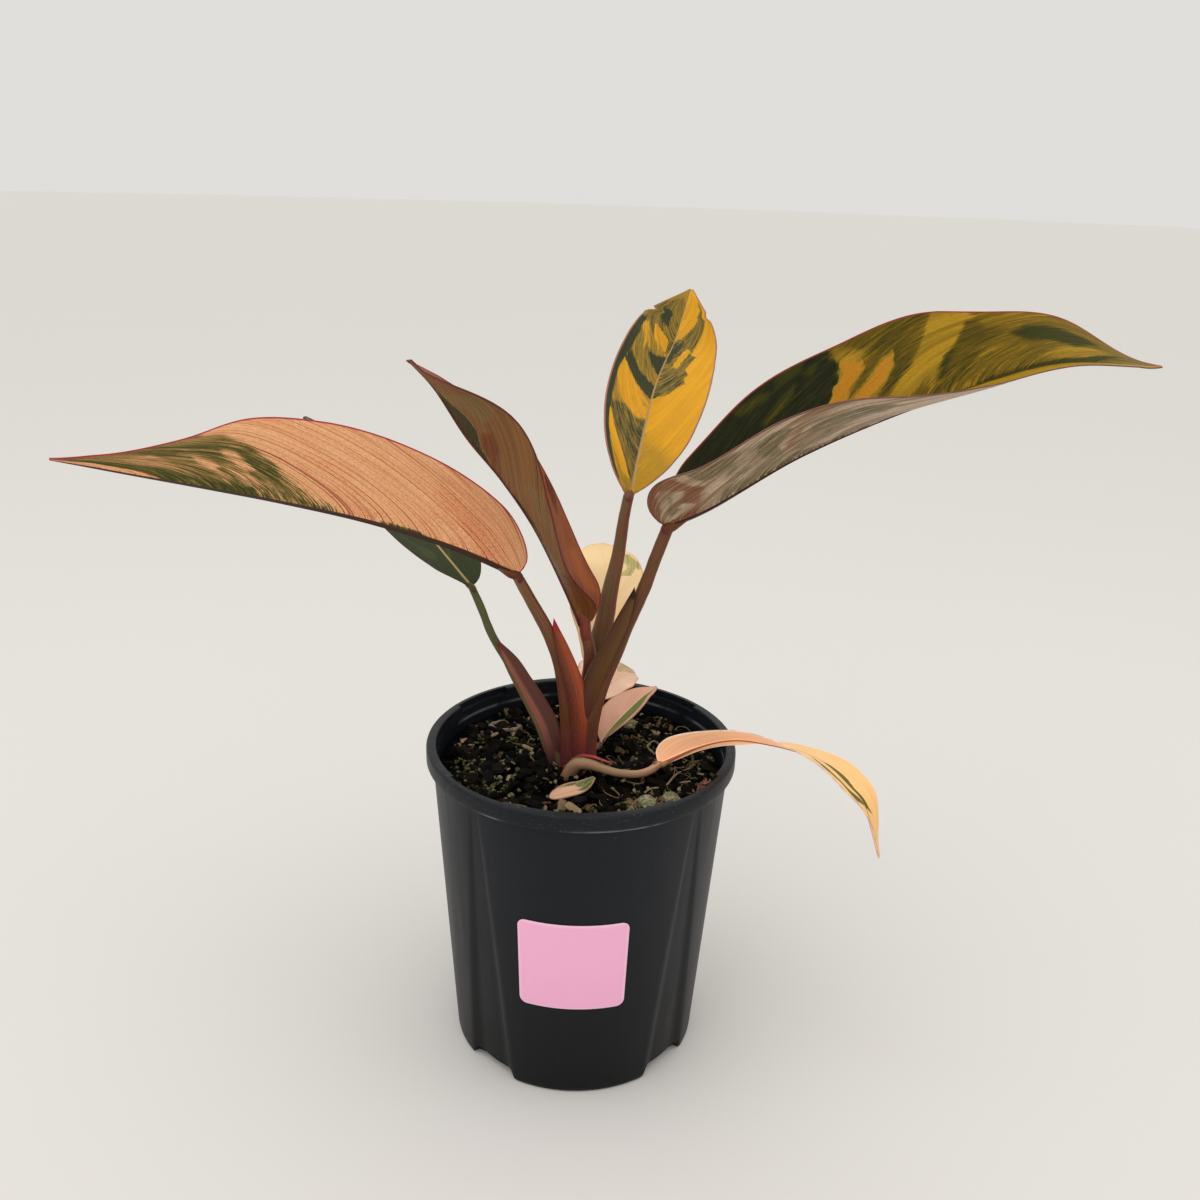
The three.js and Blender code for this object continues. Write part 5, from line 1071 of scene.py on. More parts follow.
class PotSettings(bpy.types.PropertyGroup):
    """Sizes and colour of the nursery pot."""

    height: FloatProperty(
        name="Height", description="Height of the pot", default=0.1495, unit="LENGTH")
    rim_radius: FloatProperty(
        name="Rim radius", description="Outer radius of the rim band", default=0.07,
        unit="LENGTH")
    band_height: FloatProperty(
        name="Band height", description="Height of the rim band", default=0.0075,
        unit="LENGTH")
    top_radius: FloatProperty(
        name="Top radius", description="Radius of the wall under the band",
        default=0.0671, unit="LENGTH")
    foot_radius: FloatProperty(
        name="Foot radius", description="Radius of the wall at the ground",
        default=0.057, unit="LENGTH")
    lip_width: FloatProperty(
        name="Lip width", description="Width of the flat top of the rim",
        default=0.0045, unit="LENGTH")
    wall: FloatProperty(
        name="Wall", description="Thickness of the wall", default=0.0016, unit="LENGTH")
    floor: FloatProperty(
        name="Floor", description="Thickness of the floor", default=0.002, unit="LENGTH")
    flute_depth: FloatProperty(
        name="Flute depth", description="Depth of a flute at the ground",
        default=0.0024, unit="LENGTH")
    turn: FloatProperty(
        name="Turn", description="How far the feet stand turned from the front",
        default=math.radians(3.5), subtype="ANGLE")
    colour: FloatVectorProperty(
        name="Colour", description="Colour of the plastic", subtype="COLOR", size=3,
        default=(0.0042, 0.0056, 0.0084), min=0, max=1)


class StickerSettings(bpy.types.PropertyGroup):
    """Size, place and colour of the blank sticker."""

    width: FloatProperty(
        name="Width", description="Width along the wall", default=0.0475, unit="LENGTH")
    height: FloatProperty(
        name="Height", description="Height of the sticker", default=0.045, unit="LENGTH")
    middle: FloatProperty(
        name="Middle", description="Height of its middle above the ground",
        default=0.0715, unit="LENGTH")
    corner: FloatProperty(
        name="Corner", description="Radius of its corners", default=0.0035, unit="LENGTH")
    angle: FloatProperty(
        name="Angle", description="Where it sits round the wall",
        default=math.radians(-91.2), subtype="ANGLE")
    colour: FloatVectorProperty(
        name="Colour", description="Colour of the paper", subtype="COLOR", size=3,
        default=(0.95, 0.46, 0.68), min=0, max=1)


class MixSettings(bpy.types.PropertyGroup):
    """How the potting mix is made up."""

    bark: IntProperty(name="Bark", description="Number of dark bark chips", default=560)
    pellets: IntProperty(
        name="Pellets", description="Number of small olive crumbs", default=900)
    flakes: IntProperty(name="Flakes", description="Number of tan flakes", default=110)
    grit: IntProperty(name="Grit", description="Number of pale grains", default=46)
    fibres: IntProperty(name="Fibres", description="Number of loose roots", default=60)
    seed: IntProperty(name="Seed", description="Seed of the scatter", default=7)


class FoliageSettings(bpy.types.PropertyGroup):
    """How finely the leaves are built, and their thickness."""

    blade: FloatProperty(
        name="Blade", description="Thickness of a blade", default=0.0005, unit="LENGTH")
    row: FloatProperty(
        name="Row", description="Spacing of the mesh rows along a blade",
        default=0.001, unit="LENGTH")
    columns: IntProperty(
        name="Columns", description="Mesh columns across half a blade", default=30)
    pleat: FloatProperty(
        name="Pleat", description="Height of the pleats between side veins",
        default=0.00012, unit="LENGTH")


class StageSettings(bpy.types.PropertyGroup):
    """Floor, light and camera."""

    floor: FloatVectorProperty(
        name="Floor", description="Colour of the floor", subtype="COLOR", size=3,
        default=(0.655, 0.64, 0.62), min=0, max=1)
    room: FloatVectorProperty(
        name="Room", description="Colour of the light from the room", subtype="COLOR",
        size=3, default=(0.75, 0.735, 0.71), min=0, max=1)
    overhead: FloatProperty(
        name="Overhead", description="Light from above as a multiple of that from the sides",
        default=1.55)
    key: FloatProperty(
        name="Key", description="Power of the large soft light overhead", default=3.4,
        unit="POWER")
    lens: FloatProperty(
        name="Lens", description="Focal length in mm on a 36 mm sensor", default=36.0)
    place: FloatVectorProperty(
        name="Place", description="Place of the camera", size=3,
        default=(0.0, -0.4913, 0.396), subtype="TRANSLATION")
    yaw: FloatProperty(
        name="Yaw", description="Turn to the right", default=math.radians(0.75),
        subtype="ANGLE")
    pitch: FloatProperty(
        name="Pitch", description="Tilt down", default=math.radians(20.03),
        subtype="ANGLE")
    roll: FloatProperty(
        name="Roll", description="Turn about the line of sight",
        default=math.radians(1.81), subtype="ANGLE")


# ---- pot and sticker

POT_STEPS = 240
FLUTES = 4
FLUTE_SOURCE = math.radians(9)  # half the angle whose columns follow a flute's creases
FLUTE_TOP = math.radians(2)
FLUTE_FOOT = math.radians(14)
FLUTE_BEND = 0.6
FLUTE_FADE = 0.8
FLUTE_RADIUS = 57.0  # nearer to the middle than this the flutes die out
NOTCH_HEIGHT = 5.0
NOTCH_HALF_ANGLE = 12.0
NOTCH_FLARE = 3.0
NOTCH_INNER_RADIUS = 45.0
RECESS_DEPTH = 3.0
RECESS_REACH = 1.9
RECESS_HALF_ANGLE = 13.5


def fluted(points, pot):
    """Points of a round wall moved into the four flutes, which deepen to the ground."""
    band_foot = (pot.height - pot.band_height) / MM
    share = np.clip(points[:, 2] / band_foot, 0, 1)
    radius = np.hypot(points[:, 0], points[:, 1])
    quarter = 2 * math.pi / FLUTES
    middle = math.pi / 4 + pot.turn
    turn = np.arctan2(points[:, 1], points[:, 0]) - middle
    nearest = np.round(turn / quarter) * quarter
    off = turn - nearest
    half_angle = FLUTE_FOOT + (FLUTE_TOP - FLUTE_FOOT) * share
    size = np.abs(off)
    inside = size * half_angle / FLUTE_SOURCE
    outside = half_angle + (size - FLUTE_SOURCE) * (quarter / 2 - half_angle) / (
        quarter / 2 - FLUTE_SOURCE)
    size = np.where(size < FLUTE_SOURCE, inside, outside)
    flank = np.clip((1 - size / half_angle) / (1 - FLUTE_BEND), 0, 1)
    flank = flank * flank * (3 - 2 * flank)
    depth = pot.flute_depth / MM * (1 - share) ** FLUTE_FADE
    sunk = depth * flank * np.minimum(radius / FLUTE_RADIUS, 1) ** 4
    turn = middle + nearest + np.sign(off) * size
    moved = radius - sunk
    return np.stack([moved * np.cos(turn), moved * np.sin(turn), points[:, 2]], 1)


def sector(name, middle, half_angle, inner, outer, low, high, narrowing=0.0):
    """A cutting block that fills an angle between two radii and two heights."""
    block = added(name, bpy.ops.mesh.primitive_cube_add, size=2)
    edited(block, lambda: bpy.ops.mesh.subdivide(number_cuts=5))
    flat = points_of(block) * MM
    rise = (flat[:, 2] + 1) / 2
    reach = np.radians(half_angle - narrowing * rise)
    turn = math.radians(middle) + flat[:, 0] * reach
    radius = inner + (outer - inner) * (flat[:, 1] + 1) / 2
    height = low + (high - low) * rise
    set_points(block, np.stack([radius * np.cos(turn), radius * np.sin(turn), height], 1))
    edited(block, face_outwards)
    return block


def make_pot(pot):
    """The pot: spun from its profile, fluted, then notched at the foot and at the lip."""
    height, rim = pot.height / MM, pot.rim_radius / MM
    band_foot = height - pot.band_height / MM
    foot, top = pot.foot_radius / MM, pot.top_radius / MM
    wall, floor = pot.wall / MM, pot.floor / MM
    lip = rim - pot.lip_width / MM
    slope = (top - foot) / band_foot
    levels = [2.5, 4, 6] + list(np.arange(10, band_foot - 3, 8)) + [band_foot - 1]
    outer = [(foot + slope * level, level) for level in levels]
    inner = [(foot + slope * level - wall, level) for level in reversed(levels)]
    profile = [(0, 0), (25, 0), (NOTCH_INNER_RADIUS, 0), (foot - 1.6, 0), (foot - 0.6, 0.35),
               (foot, 1.3), *outer, (top, band_foot - 0.15), (top + 0.4, band_foot),
               (rim - 0.7, band_foot), (rim - 0.2, band_foot + 0.2), (rim, band_foot + 0.7),
               (rim, band_foot + 2.5), (rim, height - 1.4), (rim - 0.25, height - 0.6),
               (rim - 0.7, height - 0.15), (rim - 1.4, height), (lip + 1.1, height),
               (lip + 0.5, height - 0.1), (lip + 0.1, height - 0.5), (lip, height - 1.1),
               (lip - 0.5, height - 8), (lip - 1, band_foot - 4.5), (lip - 0.4, band_foot - 5.3),
               *inner[1:-1], (foot - wall + 0.3, floor + 1.0), (foot - wall - 0.8, floor),
               (NOTCH_INNER_RADIUS, floor), (25, floor), (0, floor)]
    piece = spun("pot_shell", profile, POT_STEPS)
    points = points_of(piece)
    below = points[:, 2] < band_foot - 0.5
    points[below] = fluted(points[below], pot)
    set_points(piece, points)
    cutters = []
    for k in range(FLUTES):
        middle = 45 + 90 * k + math.degrees(pot.turn)
        cutters.append(sector(f"notch_{k}", middle, NOTCH_HALF_ANGLE + NOTCH_FLARE,
                              NOTCH_INNER_RADIUS, rim, -1, NOTCH_HEIGHT, NOTCH_FLARE))
        cutters.append(sector(f"recess_{k}", middle, RECESS_HALF_ANGLE, lip - RECESS_REACH,
                              lip + RECESS_REACH, height - RECESS_DEPTH, height + 1))
    cutter = joined(cutters, "pot_cutter")
    apply_modifier(piece, "BOOLEAN", operation="DIFFERENCE", object=cutter, solver="EXACT")
    bpy.data.objects.remove(cutter)
    finish_piece(piece, "pot_shell", ["pot"], [pot_material(pot.colour)], 32)


def make_sticker(sticker, pot):
    """The blank sticker: a rounded square bent round the wall and given its thickness."""
    piece = added("pot_sticker", bpy.ops.mesh.primitive_plane_add, size=1)
    width, height = sticker.width / MM, sticker.height / MM
    flat = points_of(piece) * MM
    set_points(piece, flat * (width, height, 1))
    edited(piece, lambda: bpy.ops.mesh.bevel(
        affect="VERTICES", offset=sticker.corner, segments=8))
    cuts = 22
    for axis, size in ((0, width), (1, height)):
        for k in range(1, cuts):
            place = [0.0, 0.0, 0.0]
            place[axis] = (k / cuts - 0.5) * size * MM
            normal = [float(i == axis) for i in range(3)]
            edited(piece, lambda: bpy.ops.mesh.bisect(plane_co=place, plane_no=normal))
    edited(piece, merge_doubles)
    flat = points_of(piece)
    set_field(piece, "flat", flat / (width / 2, height / 2, 1))
    foot, top = pot.foot_radius / MM, pot.top_radius / MM
    band_foot = (pot.height - pot.band_height) / MM
    level = sticker.middle / MM + flat[:, 1]
    radius = foot + (top - foot) * level / band_foot + 0.2
    middle_radius = foot + (top - foot) * sticker.middle / MM / band_foot
    turn = sticker.angle + flat[:, 0] / middle_radius
    set_points(piece, np.stack([radius * np.cos(turn), radius * np.sin(turn), level], 1))
    apply_modifier(piece, "SOLIDIFY", thickness=0.0005, offset=1.0)
    apply_modifier(piece, "BEVEL", width=0.00016, segments=2, limit_method="ANGLE")
    finish_piece(piece, "pot_sticker", ["label"],
                 [sticker_material(sticker.colour)])


# ---- potting mix

BODY_RADIUS = 63.2  # how far out the top of the mix's body reaches
BODY_SINK = 1.6  # how far it lies under the chips

def make_mix_body(pot, grain):
    """The body of the mix: spun, fluted as the wall is, its top raised by the swells."""
    foot, top = pot.foot_radius / MM, pot.top_radius / MM
    band_foot = (pot.height - pot.band_height) / MM
    inset = pot.wall / MM + GAP

    def wall_at(level):
        return foot + (top - foot) * level / band_foot - inset

    low = pot.floor / MM + GAP
    rings = [(float(r), MIX_LEVEL) for r in np.arange(0, 62.5, 1.25)]
    side = [(wall_at(level), level) for level in (134.5, 120, 90, 60, 30, 10, low)]
    profile = rings + side + [(40, low), (0, low)]
    piece = spun("mix_body", profile, 150)
    points = points_of(piece)
    upper = points[:, 2] >= MIX_LEVEL - 1
    points[~upper] = fluted(points[~upper], pot)
    points[upper, 2] = mix_height(points[upper, 0], points[upper, 1]) - BODY_SINK
    points[upper] = crumpled(crumpled(points[upper], 1.5, 4.0, 3.0), 0.9, 1.6, 9.0)
    radius = np.hypot(points[:, 0], points[:, 1])
    limit = np.where(upper, BODY_RADIUS, radius)
    points[:, :2] *= (np.minimum(radius, limit) / np.maximum(radius, 1e-6))[:, None]
    set_points(piece, points)
    # the body's near-black is partly the mix's own dark colour and partly painted shade in the
    # gaps between the chips
    finish = rough_material("mix_dark_and_gap_shade", "#040404", "#0b0907", grain, 260.0, 0.7, 0.08,
                            relief=0.0009)
    finish_piece(piece, "potting_mix_body", ["potting_mix"], [finish], 70)


def base_shape(kind, size, amount, seed):
    """One chip, pellet or flake to copy: a primitive squashed and crumpled."""
    if kind == "block":
        piece = added(kind, bpy.ops.mesh.primitive_cube_add, size=2)
        edited(piece, lambda: bpy.ops.mesh.bevel(offset=0.35, segments=1))
    else:
        piece = added(kind, bpy.ops.mesh.primitive_ico_sphere_add,
                      subdivisions=2 if kind == "lump" else 1, radius=1)
    points = crumpled(points_of(piece) * MM * size, amount, 0.9, seed)
    set_points(piece, points)
    faces = [tuple(face.vertices) for face in piece.data.polygons]
    bpy.data.objects.remove(piece)
    return points, faces


def scattered(name, shapes, places, material):
    """One mesh with a copy of a shape at each place, turned, sized and tinted."""
    points, faces, tints = [], [], []
    count = 0
    for place, size, turns, tint, pick in places:
        base, base_faces = shapes[pick % len(shapes)]
        moved = base * size
        for axis, turn in enumerate(turns):
            a, b = [k for k in range(3) if k != axis]
            first, second = moved[:, a].copy(), moved[:, b].copy()
            moved[:, a] = first * math.cos(turn) - second * math.sin(turn)
            moved[:, b] = first * math.sin(turn) + second * math.cos(turn)
        points.append(moved + place)
        faces.extend(tuple(v + count for v in face) for face in base_faces)
        tints.append(np.full(len(base), tint))
        count += len(base)
    mesh = bpy.data.meshes.new(name)
    mesh.from_pydata((np.concatenate(points) * MM).tolist(), [], faces)
    piece = bpy.data.objects.new(name, mesh)
    bpy.context.scene.collection.objects.link(piece)
    set_field(piece, "tint", np.concatenate(tints))
    edited(piece, face_outwards)
    finish_piece(piece, name, [], [material], 25)
    return piece


def spots(count, source, low, high, lift, tilt, liking=None, clear=9.0):
    """Places on the mix for loose pieces, where a liking from 0 to 1 favours some ground."""
    made = []
    while len(made) < count:
        radius = 61.0 * math.sqrt(source.random())
        turn = source.uniform(0, 2 * math.pi)
        x, y = radius * math.cos(turn), radius * math.sin(turn)
        size = source.uniform(low, high)
        chance = source.random()
        if math.hypot(x - CROWN_PLACE[0], y - CROWN_PLACE[1]) < clear + size:
            continue
        if radius + size * 1.3 > MIX_RADIUS or (liking and chance > liking(x, y)):
            continue
        scrap_x = (x - SCRAP_PLACE[0]) / SCRAP_REACH[0]
        scrap_y = (y - SCRAP_PLACE[1]) / SCRAP_REACH[1]
        if size > 1.4 and math.hypot(scrap_x, scrap_y) < 1:  # under the leaf scrap
            continue
        place = np.array(on_mix(x, y, source.uniform(*lift)))
        turns = [source.uniform(-tilt, tilt), source.uniform(-tilt, tilt),
                 source.uniform(0, 2 * math.pi)]
        made.append((place, size, turns, source.random() ** 2, source.randrange(12)))
    return made


def near(x, y, spots_and_reach):
    """How near a place is to any of some spots, from 0 to 1."""
    return max(math.exp(-((x - a) ** 2 + (y - b) ** 2) / reach**2)
               for a, b, reach in spots_and_reach)


def make_mix(settings, pot, grain):
    """The mix: its body, then dark bark, olive pellets, tan flakes, grit and loose roots."""
    make_mix_body(pot, grain)
    source = random.Random(settings.seed)
    blocks = [base_shape("block", (1.3, 0.7, 0.25 + 0.07 * k), 0.5, 3.0 * k) for k in range(6)]
    pellets = [base_shape("pellet", (1.0, 0.7, 0.55), 0.5, 5.0 * k + 1) for k in range(5)]
    flakes = [base_shape("block", (1.3, 0.6, 0.16), 0.22, 7.0 * k + 2) for k in range(4)]
    lumps = [base_shape("lump", (1.0, 0.85, 0.75), 0.3, 9.0 * k + 4) for k in range(4)]
    # the chips' near-black tones are partly their own colour and partly painted shade
    dark = rough_material("bark_dark_and_shade", "#030303", "#0a0807", grain, 420.0, 0.65, 0.06,
                          shift="#20180f")
    olive = rough_material("pellet_olive", "#1a1c0e", "#424524", grain, 520.0, 0.6, 0.12,
                           shift="#8e8a58")
    tan = rough_material("flake_tan", "#33261a", "#6a5436", grain, 480.0, 0.6, 0.12,
                         shift="#b89c76")
    pale = rough_material("grit_pale", "#8d8468", "#a9a184", grain, 700.0, 0.7, 0.25,
                          shift="#6a6c44")
    def pellet_ground(x, y):
        return max(0.14, near(x, y, [(-46, -8, 11), (-38, -30, 9), (-30, 14, 8), (-52, 14, 7),
                                     (30, -42, 9), (26, 30, 9), (48, 18, 8), (-22, -44, 6)]))

    def flake_ground(x, y):
        return max(0.25, near(x, y, [(34, -36, 18), (-44, 26, 14), (-20, -46, 14)]))

    scattered("bark_chips", blocks, spots(settings.bark, source, 1.1, 3.7, (-1.2, 0.7), 1.1),
              dark)
    scattered("olive_pellets", pellets,
              spots(settings.pellets, source, 0.5, 1.5, (-0.2, 1.6), 0.9, pellet_ground),
              olive)
    scattered("tan_flakes", flakes,
              spots(settings.flakes, source, 1.2, 3.0, (0.4, 1.5), 0.6, flake_ground),
              tan)
    scattered("pale_grit", lumps,
              spots(settings.grit, source, 0.7, 1.6, (0.2, 1.3), 0.8, flake_ground),
              pale)
    fibre = rough_material("root_fibre", "#6a5636", "#94794e", grain, 900.0, 0.6, 0.3)
    threads = []
    for place, size, turns, _, _ in spots(settings.fibres, source, 1.0, 2.6, (0.8, 1.6), 1.0,
                                          lambda x, y: 0.8 if x > 8 else 0.2):
        bend = source.uniform(-0.9, 0.9)
        points = []
        for k in range(4):
            turn = turns[2] + bend * k
            step = size * 1.6 * k
            x, y = place[0] + step * math.cos(turn), place[1] + step * math.sin(turn)
            if math.hypot(x, y) > 62.5:
                break
            points.append(on_mix(x, y, (0.9, 2.0, 1.8, 0.6)[k]))
        if len(points) > 2:
            threads.append(thread(f"fibre_{len(threads)}", points,
                                  source.uniform(0.16, 0.32), 10, 5))
    finish_piece(joined(threads, "root_fibres"), "root_fibres", [], [fibre])
    moss = rough_material("moss_green", "#56682a", "#7d8c3c", grain, 900.0, 0.6, 0.3)
    sprigs = []
    for k in range(16):
        x = source.gauss(52, 3.5) if k < 10 else source.gauss(22, 3)
        y = source.gauss(-2, 5) if k < 10 else source.gauss(40, 3)
        lean = np.array([source.uniform(-1.5, 1.5), source.uniform(-1.5, 1.5), 3.0])
        if math.hypot(x, y) < 60:
            foot = np.array(on_mix(x, y))
            middle = foot + lean * (0.5, 0.5, 1.6 / 3.0)
            sprigs.append(thread(f"sprig_{k}", [foot, middle, foot + lean], 0.35, 6, 5))
    finish_piece(joined(sprigs, "moss_sprigs"), "moss_sprigs", [], [moss])


def ellipse(angle):
    """A plain oval ring."""
    return np.cos(angle), np.sin(angle)


def thread(name, points, radius, rings, sides):
    """A thin round body along a few points, such as a root."""
    widths = [radius] * (len(points) - 1) + [radius * 0.4]
    route = stem(points, widths, widths, face=(0, 0.1, 1))
    return tube(name, route, rings, sides, ellipse)


# ---- litter on the mix


def make_litter(pattern, grain):
    """What lies loose on the mix: leaf scrap, bark, pale lumps, husk and long roots."""
    scrap = {
        "rib": 0.5,
        "points": [on_mix(-13, -38, 2.2), on_mix(-7, -36, 2.8), on_mix(0, -33, 3.2),
                   on_mix(6, -24, 4.2)],
        "face": [(0, -0.4, 0.9), (0, -0.3, 0.9)],
        "left": half([2, 4, 4.4, 3, 0.8], [15, 10, 10], [10, 10, 10], 0),
        "right": half([1.5, 3, 3.2, 2.6, 0.8], [20, 25, 20], [10, 10, 10], 0),
    }
    tones = face_tones("#cfa588 #c6987a #6f7a40 #3f5a2c #c89880 #b89070 #a88468")
    paint = [[(0.9, 1.0, [(0.2, 0.75), (0.5, 0.5), (0.62, -0.1), (1.1, -0.1), (1.1, 1.1),
                          (0.2, 1.1)])],
             [(0.85, 1.0, [(0.45, -0.1), (1.1, -0.1), (1.1, 1.1), (0.6, 1.1)])]]
    make_blade("scrap_leaf", scrap, paint, (tones, tones), "leaf_scrap", pattern,
               0.0004, 0.7, 8, 0.0)

    bark = rough_material("bark_weathered", "#6e5e4c", "#9c8b76", grain, 330.0, 0.75, 0.3)
    ring = added("nut_ring", bpy.ops.mesh.primitive_torus_add, major_radius=5.5,
                 minor_radius=1.15, major_segments=64, minor_segments=20)
    points = crumpled(points_of(ring) * MM * (1.25, 0.8, 1.0), 0.45, 2.5, 2.0)
    set_points(ring, points + on_mix(-37, 33, 1))
    finish_piece(ring, "nut_ring", ["bark_ring"], [bark], 60)

    chip_tan = rough_material("chip_tan", "#8a6a48", "#b8946a", grain, 300.0, 0.65, 0.3)
    algae = rough_material("lump_algae", "#7c7a52", "#c0b896", grain, 380.0, 0.8, 0.25,
                           relief=0.0012)
    lumps = [
        ("tan_chip", "bark_chip", (-54, 15, 1), 4, (1.3, 0.8, 0.5), chip_tan, "bark"),
        ("lump_back", "pale_lump_back", (25, 33, 1.5), 4.5, (1.1, 0.9, 0.8), algae, "pale_lump"),
        ("lump_front", "pale_lump_front", (29, -40, 1.5), 4.2, (1, 1, 0.8), algae, "pale_lump"),
        ("lump_side", "pale_lump_side", (39, -36, 1.4), 4, (1, 0.9, 0.8), algae, "pale_lump"),
    ]
    for index, (name, node, place, size, squash, finish, slot) in enumerate(lumps):
        piece = added(name, bpy.ops.mesh.primitive_ico_sphere_add, subdivisions=5, radius=1)
        points = points_of(piece) * MM * size * 0.95 * np.array(squash)
        points = crumpled(points, 1.0, 2.6, 4.0 * index)
        points = crumpled(points, 0.45, 0.9, 4.0 * index + 1)
        set_points(piece, points + on_mix(*place))
        finish_piece(piece, name, [node], [finish], 60)

    source = random.Random(5)
    grains = [base_shape("pellet", (1.0, 0.8, 0.8), 0.3, 2.0 * k) for k in range(4)]
    path = [on_mix(47, -33, 1.2), on_mix(51, -28, 1.6), on_mix(54, -22, 1.4),
            on_mix(57, -16, 1.1)]
    places = []
    for place in along(path, np.linspace(0, 1, 90)):
        shift = np.array([source.gauss(0, 0.9) for _ in range(3)])
        turns = [source.uniform(0, 6.28) for _ in range(3)]
        places.append((place + shift * (1, 1, 0.5), source.uniform(0.45, 0.95), turns,
                       source.random(), source.randrange(4)))
    husk_finish = rough_material("husk_brown", "#4c2c20", "#8a583e", grain, 500.0, 0.6, 0.35,
                                 shift="#b08060")
    husk = scattered("husk_strand", grains, places, husk_finish)
    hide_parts("husk")

    root = rough_material("root_dry", "#7c6846", "#a89068", grain, 700.0, 0.6, 0.3)
    roots = {
        "root_long": [(20, -46, 1), (29, -31, 2.2), (37, -26, 3), (43, -15, 2.4),
                      (50, -6, 1.6)],
        "root_curl": [(34, 6, 1), (31, 11, 2.2), (34, 16, 3), (38, 13, 1.8), (43, 12, 1)],
    }
    for node, route in roots.items():
        piece = thread(node + "_piece", [on_mix(*place) for place in route], 0.42, 60, 10)
        set_points(piece, crumpled(points_of(piece), 0.5, 4.0, 1.0))
        finish_piece(piece, node + "_thread", [node], [root], 60)


# ---- crown, stalks and blades


def make_crown(grain):
    """The crown: a short knobbly stem with rings and dry papery remains."""
    profile = [(0, 122)] + [
        (8 * share, level) for share, level in
        ((0.7, 122), (0.95, 128), (1.0, 134), (1.04, 136.5), (0.94, 138), (0.98, 140),
         (0.88, 142), (0.66, 144), (0.4, 145.5))] + [(0, 146)]
    piece = spun("crown_stem", profile, 64)
    apply_modifier(piece, "SUBSURF", levels=2, render_levels=2)
    set_points(piece, crumpled(points_of(piece), 0.7, 3.0, 6.0) + (*CROWN_PLACE, 0))
    finish = rough_material("crown_skin", "#4e1c1c", "#7c3430", grain, 300.0, 0.5, 0.4)
    finish_piece(piece, "crown_stem", ["crown"], [finish], 70)

    papery = rough_material("papery_remains", "#7a5c46", "#b89a80", grain, 400.0, 0.75, 0.25)
    source = random.Random(12)
    flaps = []
    for k in range(11):
        turn = source.uniform(-2.9, -0.2) if k < 8 else source.uniform(0, 3)
        out = source.uniform(6.5, 9.5)
        x = CROWN_PLACE[0] + out * math.cos(turn)
        y = CROWN_PLACE[1] + out * math.sin(turn) - 3
        base = on_mix(x, y, 0.3)[2]
        flap, share, across = grid(f"flap_{k}", 8, 6)
        size = source.uniform(2.0, 4.5)
        wide = size * 0.6 * np.sin(np.pi * np.clip(share * 0.9 + 0.1, 0, 1)) * (across - 0.5)
        lean = source.uniform(0.2, 1.0)
        rise = share * size
        place = np.stack([
            x + math.cos(turn) * rise * lean - math.sin(turn) * wide,
            y + math.sin(turn) * rise * lean + math.cos(turn) * wide,
            base + rise * 0.8 + 0.3 * wide**2], 1)
        set_points(flap, crumpled(place, 0.5, 1.5, float(k)))
        apply_modifier(flap, "SOLIDIFY", thickness=0.00015, offset=0.0)
        flaps.append(flap)
    finish_piece(joined(flaps, "papery_flaps"), "papery_flaps", [], [papery], 60)


def stalk_section(angle):
    """An oval ring, a little hollowed on its upper side."""
    hollow = 1 - 0.16 * np.maximum(np.sin(angle), 0) ** 6
    return np.cos(angle), np.sin(angle) * hollow


def sheath_section(angle):
    """A wing whose outer end is drawn out to a thin edge."""
    thin = 1 - 0.55 * np.maximum(np.cos(angle), 0) ** 1.5
    return np.cos(angle), np.sin(angle) * thin


def channel_section(angle):
    """An open boat-shaped wing with a hollow upper face."""
    upper = np.sin(angle) > 0
    rise = np.where(upper, np.sin(angle) * (0.75 - 0.9 * np.abs(np.sin(angle)) ** 2),
                    np.sin(angle))
    return np.cos(angle), rise


def knuckle(name, leaf):
    """The top of a stalk, carried on under the foot of its blade's midrib."""
    stalk, rib = leaf["stalk"], leaf["rib"]
    radius = stalk["half_widths"][-1]
    reach = (0.05, 0.1) if name == "knuckle_rolled" else (0.015, 0.05)
    place, _, up, _, _ = frames_along(leaf["points"], leaf["face"], np.array(reach))
    before, top = np.array(stalk["points"][-2:], float)
    start = top + unit(before - top) * 3.0
    if name == "knuckle_rolled":
        under = place + up * radius * 0.8
        widths = [radius * 0.95, radius, radius, radius * 0.5]
    else:
        under = place - up * np.array([[radius * 0.6], [rib * 0.5]])
        widths = [radius * 0.95, radius * 0.95, radius * 0.6, rib * 0.4]
    route = stem([start, top, *under], widths, widths, face=stalk["face"][0])
    return tube(name, route, 24, 28, ellipse)


def make_stalks(streaks):
    """Every stalk with its sheath."""
    for name, leaf in LEAVES.items():
        tones = STALK_TONES[name]
        rings = max(24, int(length_of(leaf["stalk"]) / 1.2))
        piece = tube(f"stalk_{name}_piece", leaf["stalk"], rings, 28, stalk_section)
        set_points(piece, crumpled(points_of(piece), 0.14, 5.0, 1.0))
        piece = joined([piece, knuckle(f"knuckle_{name}", leaf)], f"{name}_stalk")
        finish_piece(piece, f"{name}_stalk", [f"stalk_{name}"],
                     [stalk_material(f"stalk_{name}", tones[:4], streaks)], 60)
        if "sheath" not in leaf:
            continue
        if name == "lower_left":
            section = channel_section
            finish = boat_material("boat_sheath", BOAT_TONES, streaks)
        else:
            section = sheath_section
            outer_side = -1.0 if leaf["sheath"]["hook"] < 0 else 1.0
            finish = sheath_material(f"sheath_{name}", tones[:1] + tones[4:], outer_side,
                                     streaks)
        wing = tube(f"sheath_{name}", leaf["sheath"], 60, 32, section)
        finish_piece(wing, f"{name}_sheath", [], [finish], 60)


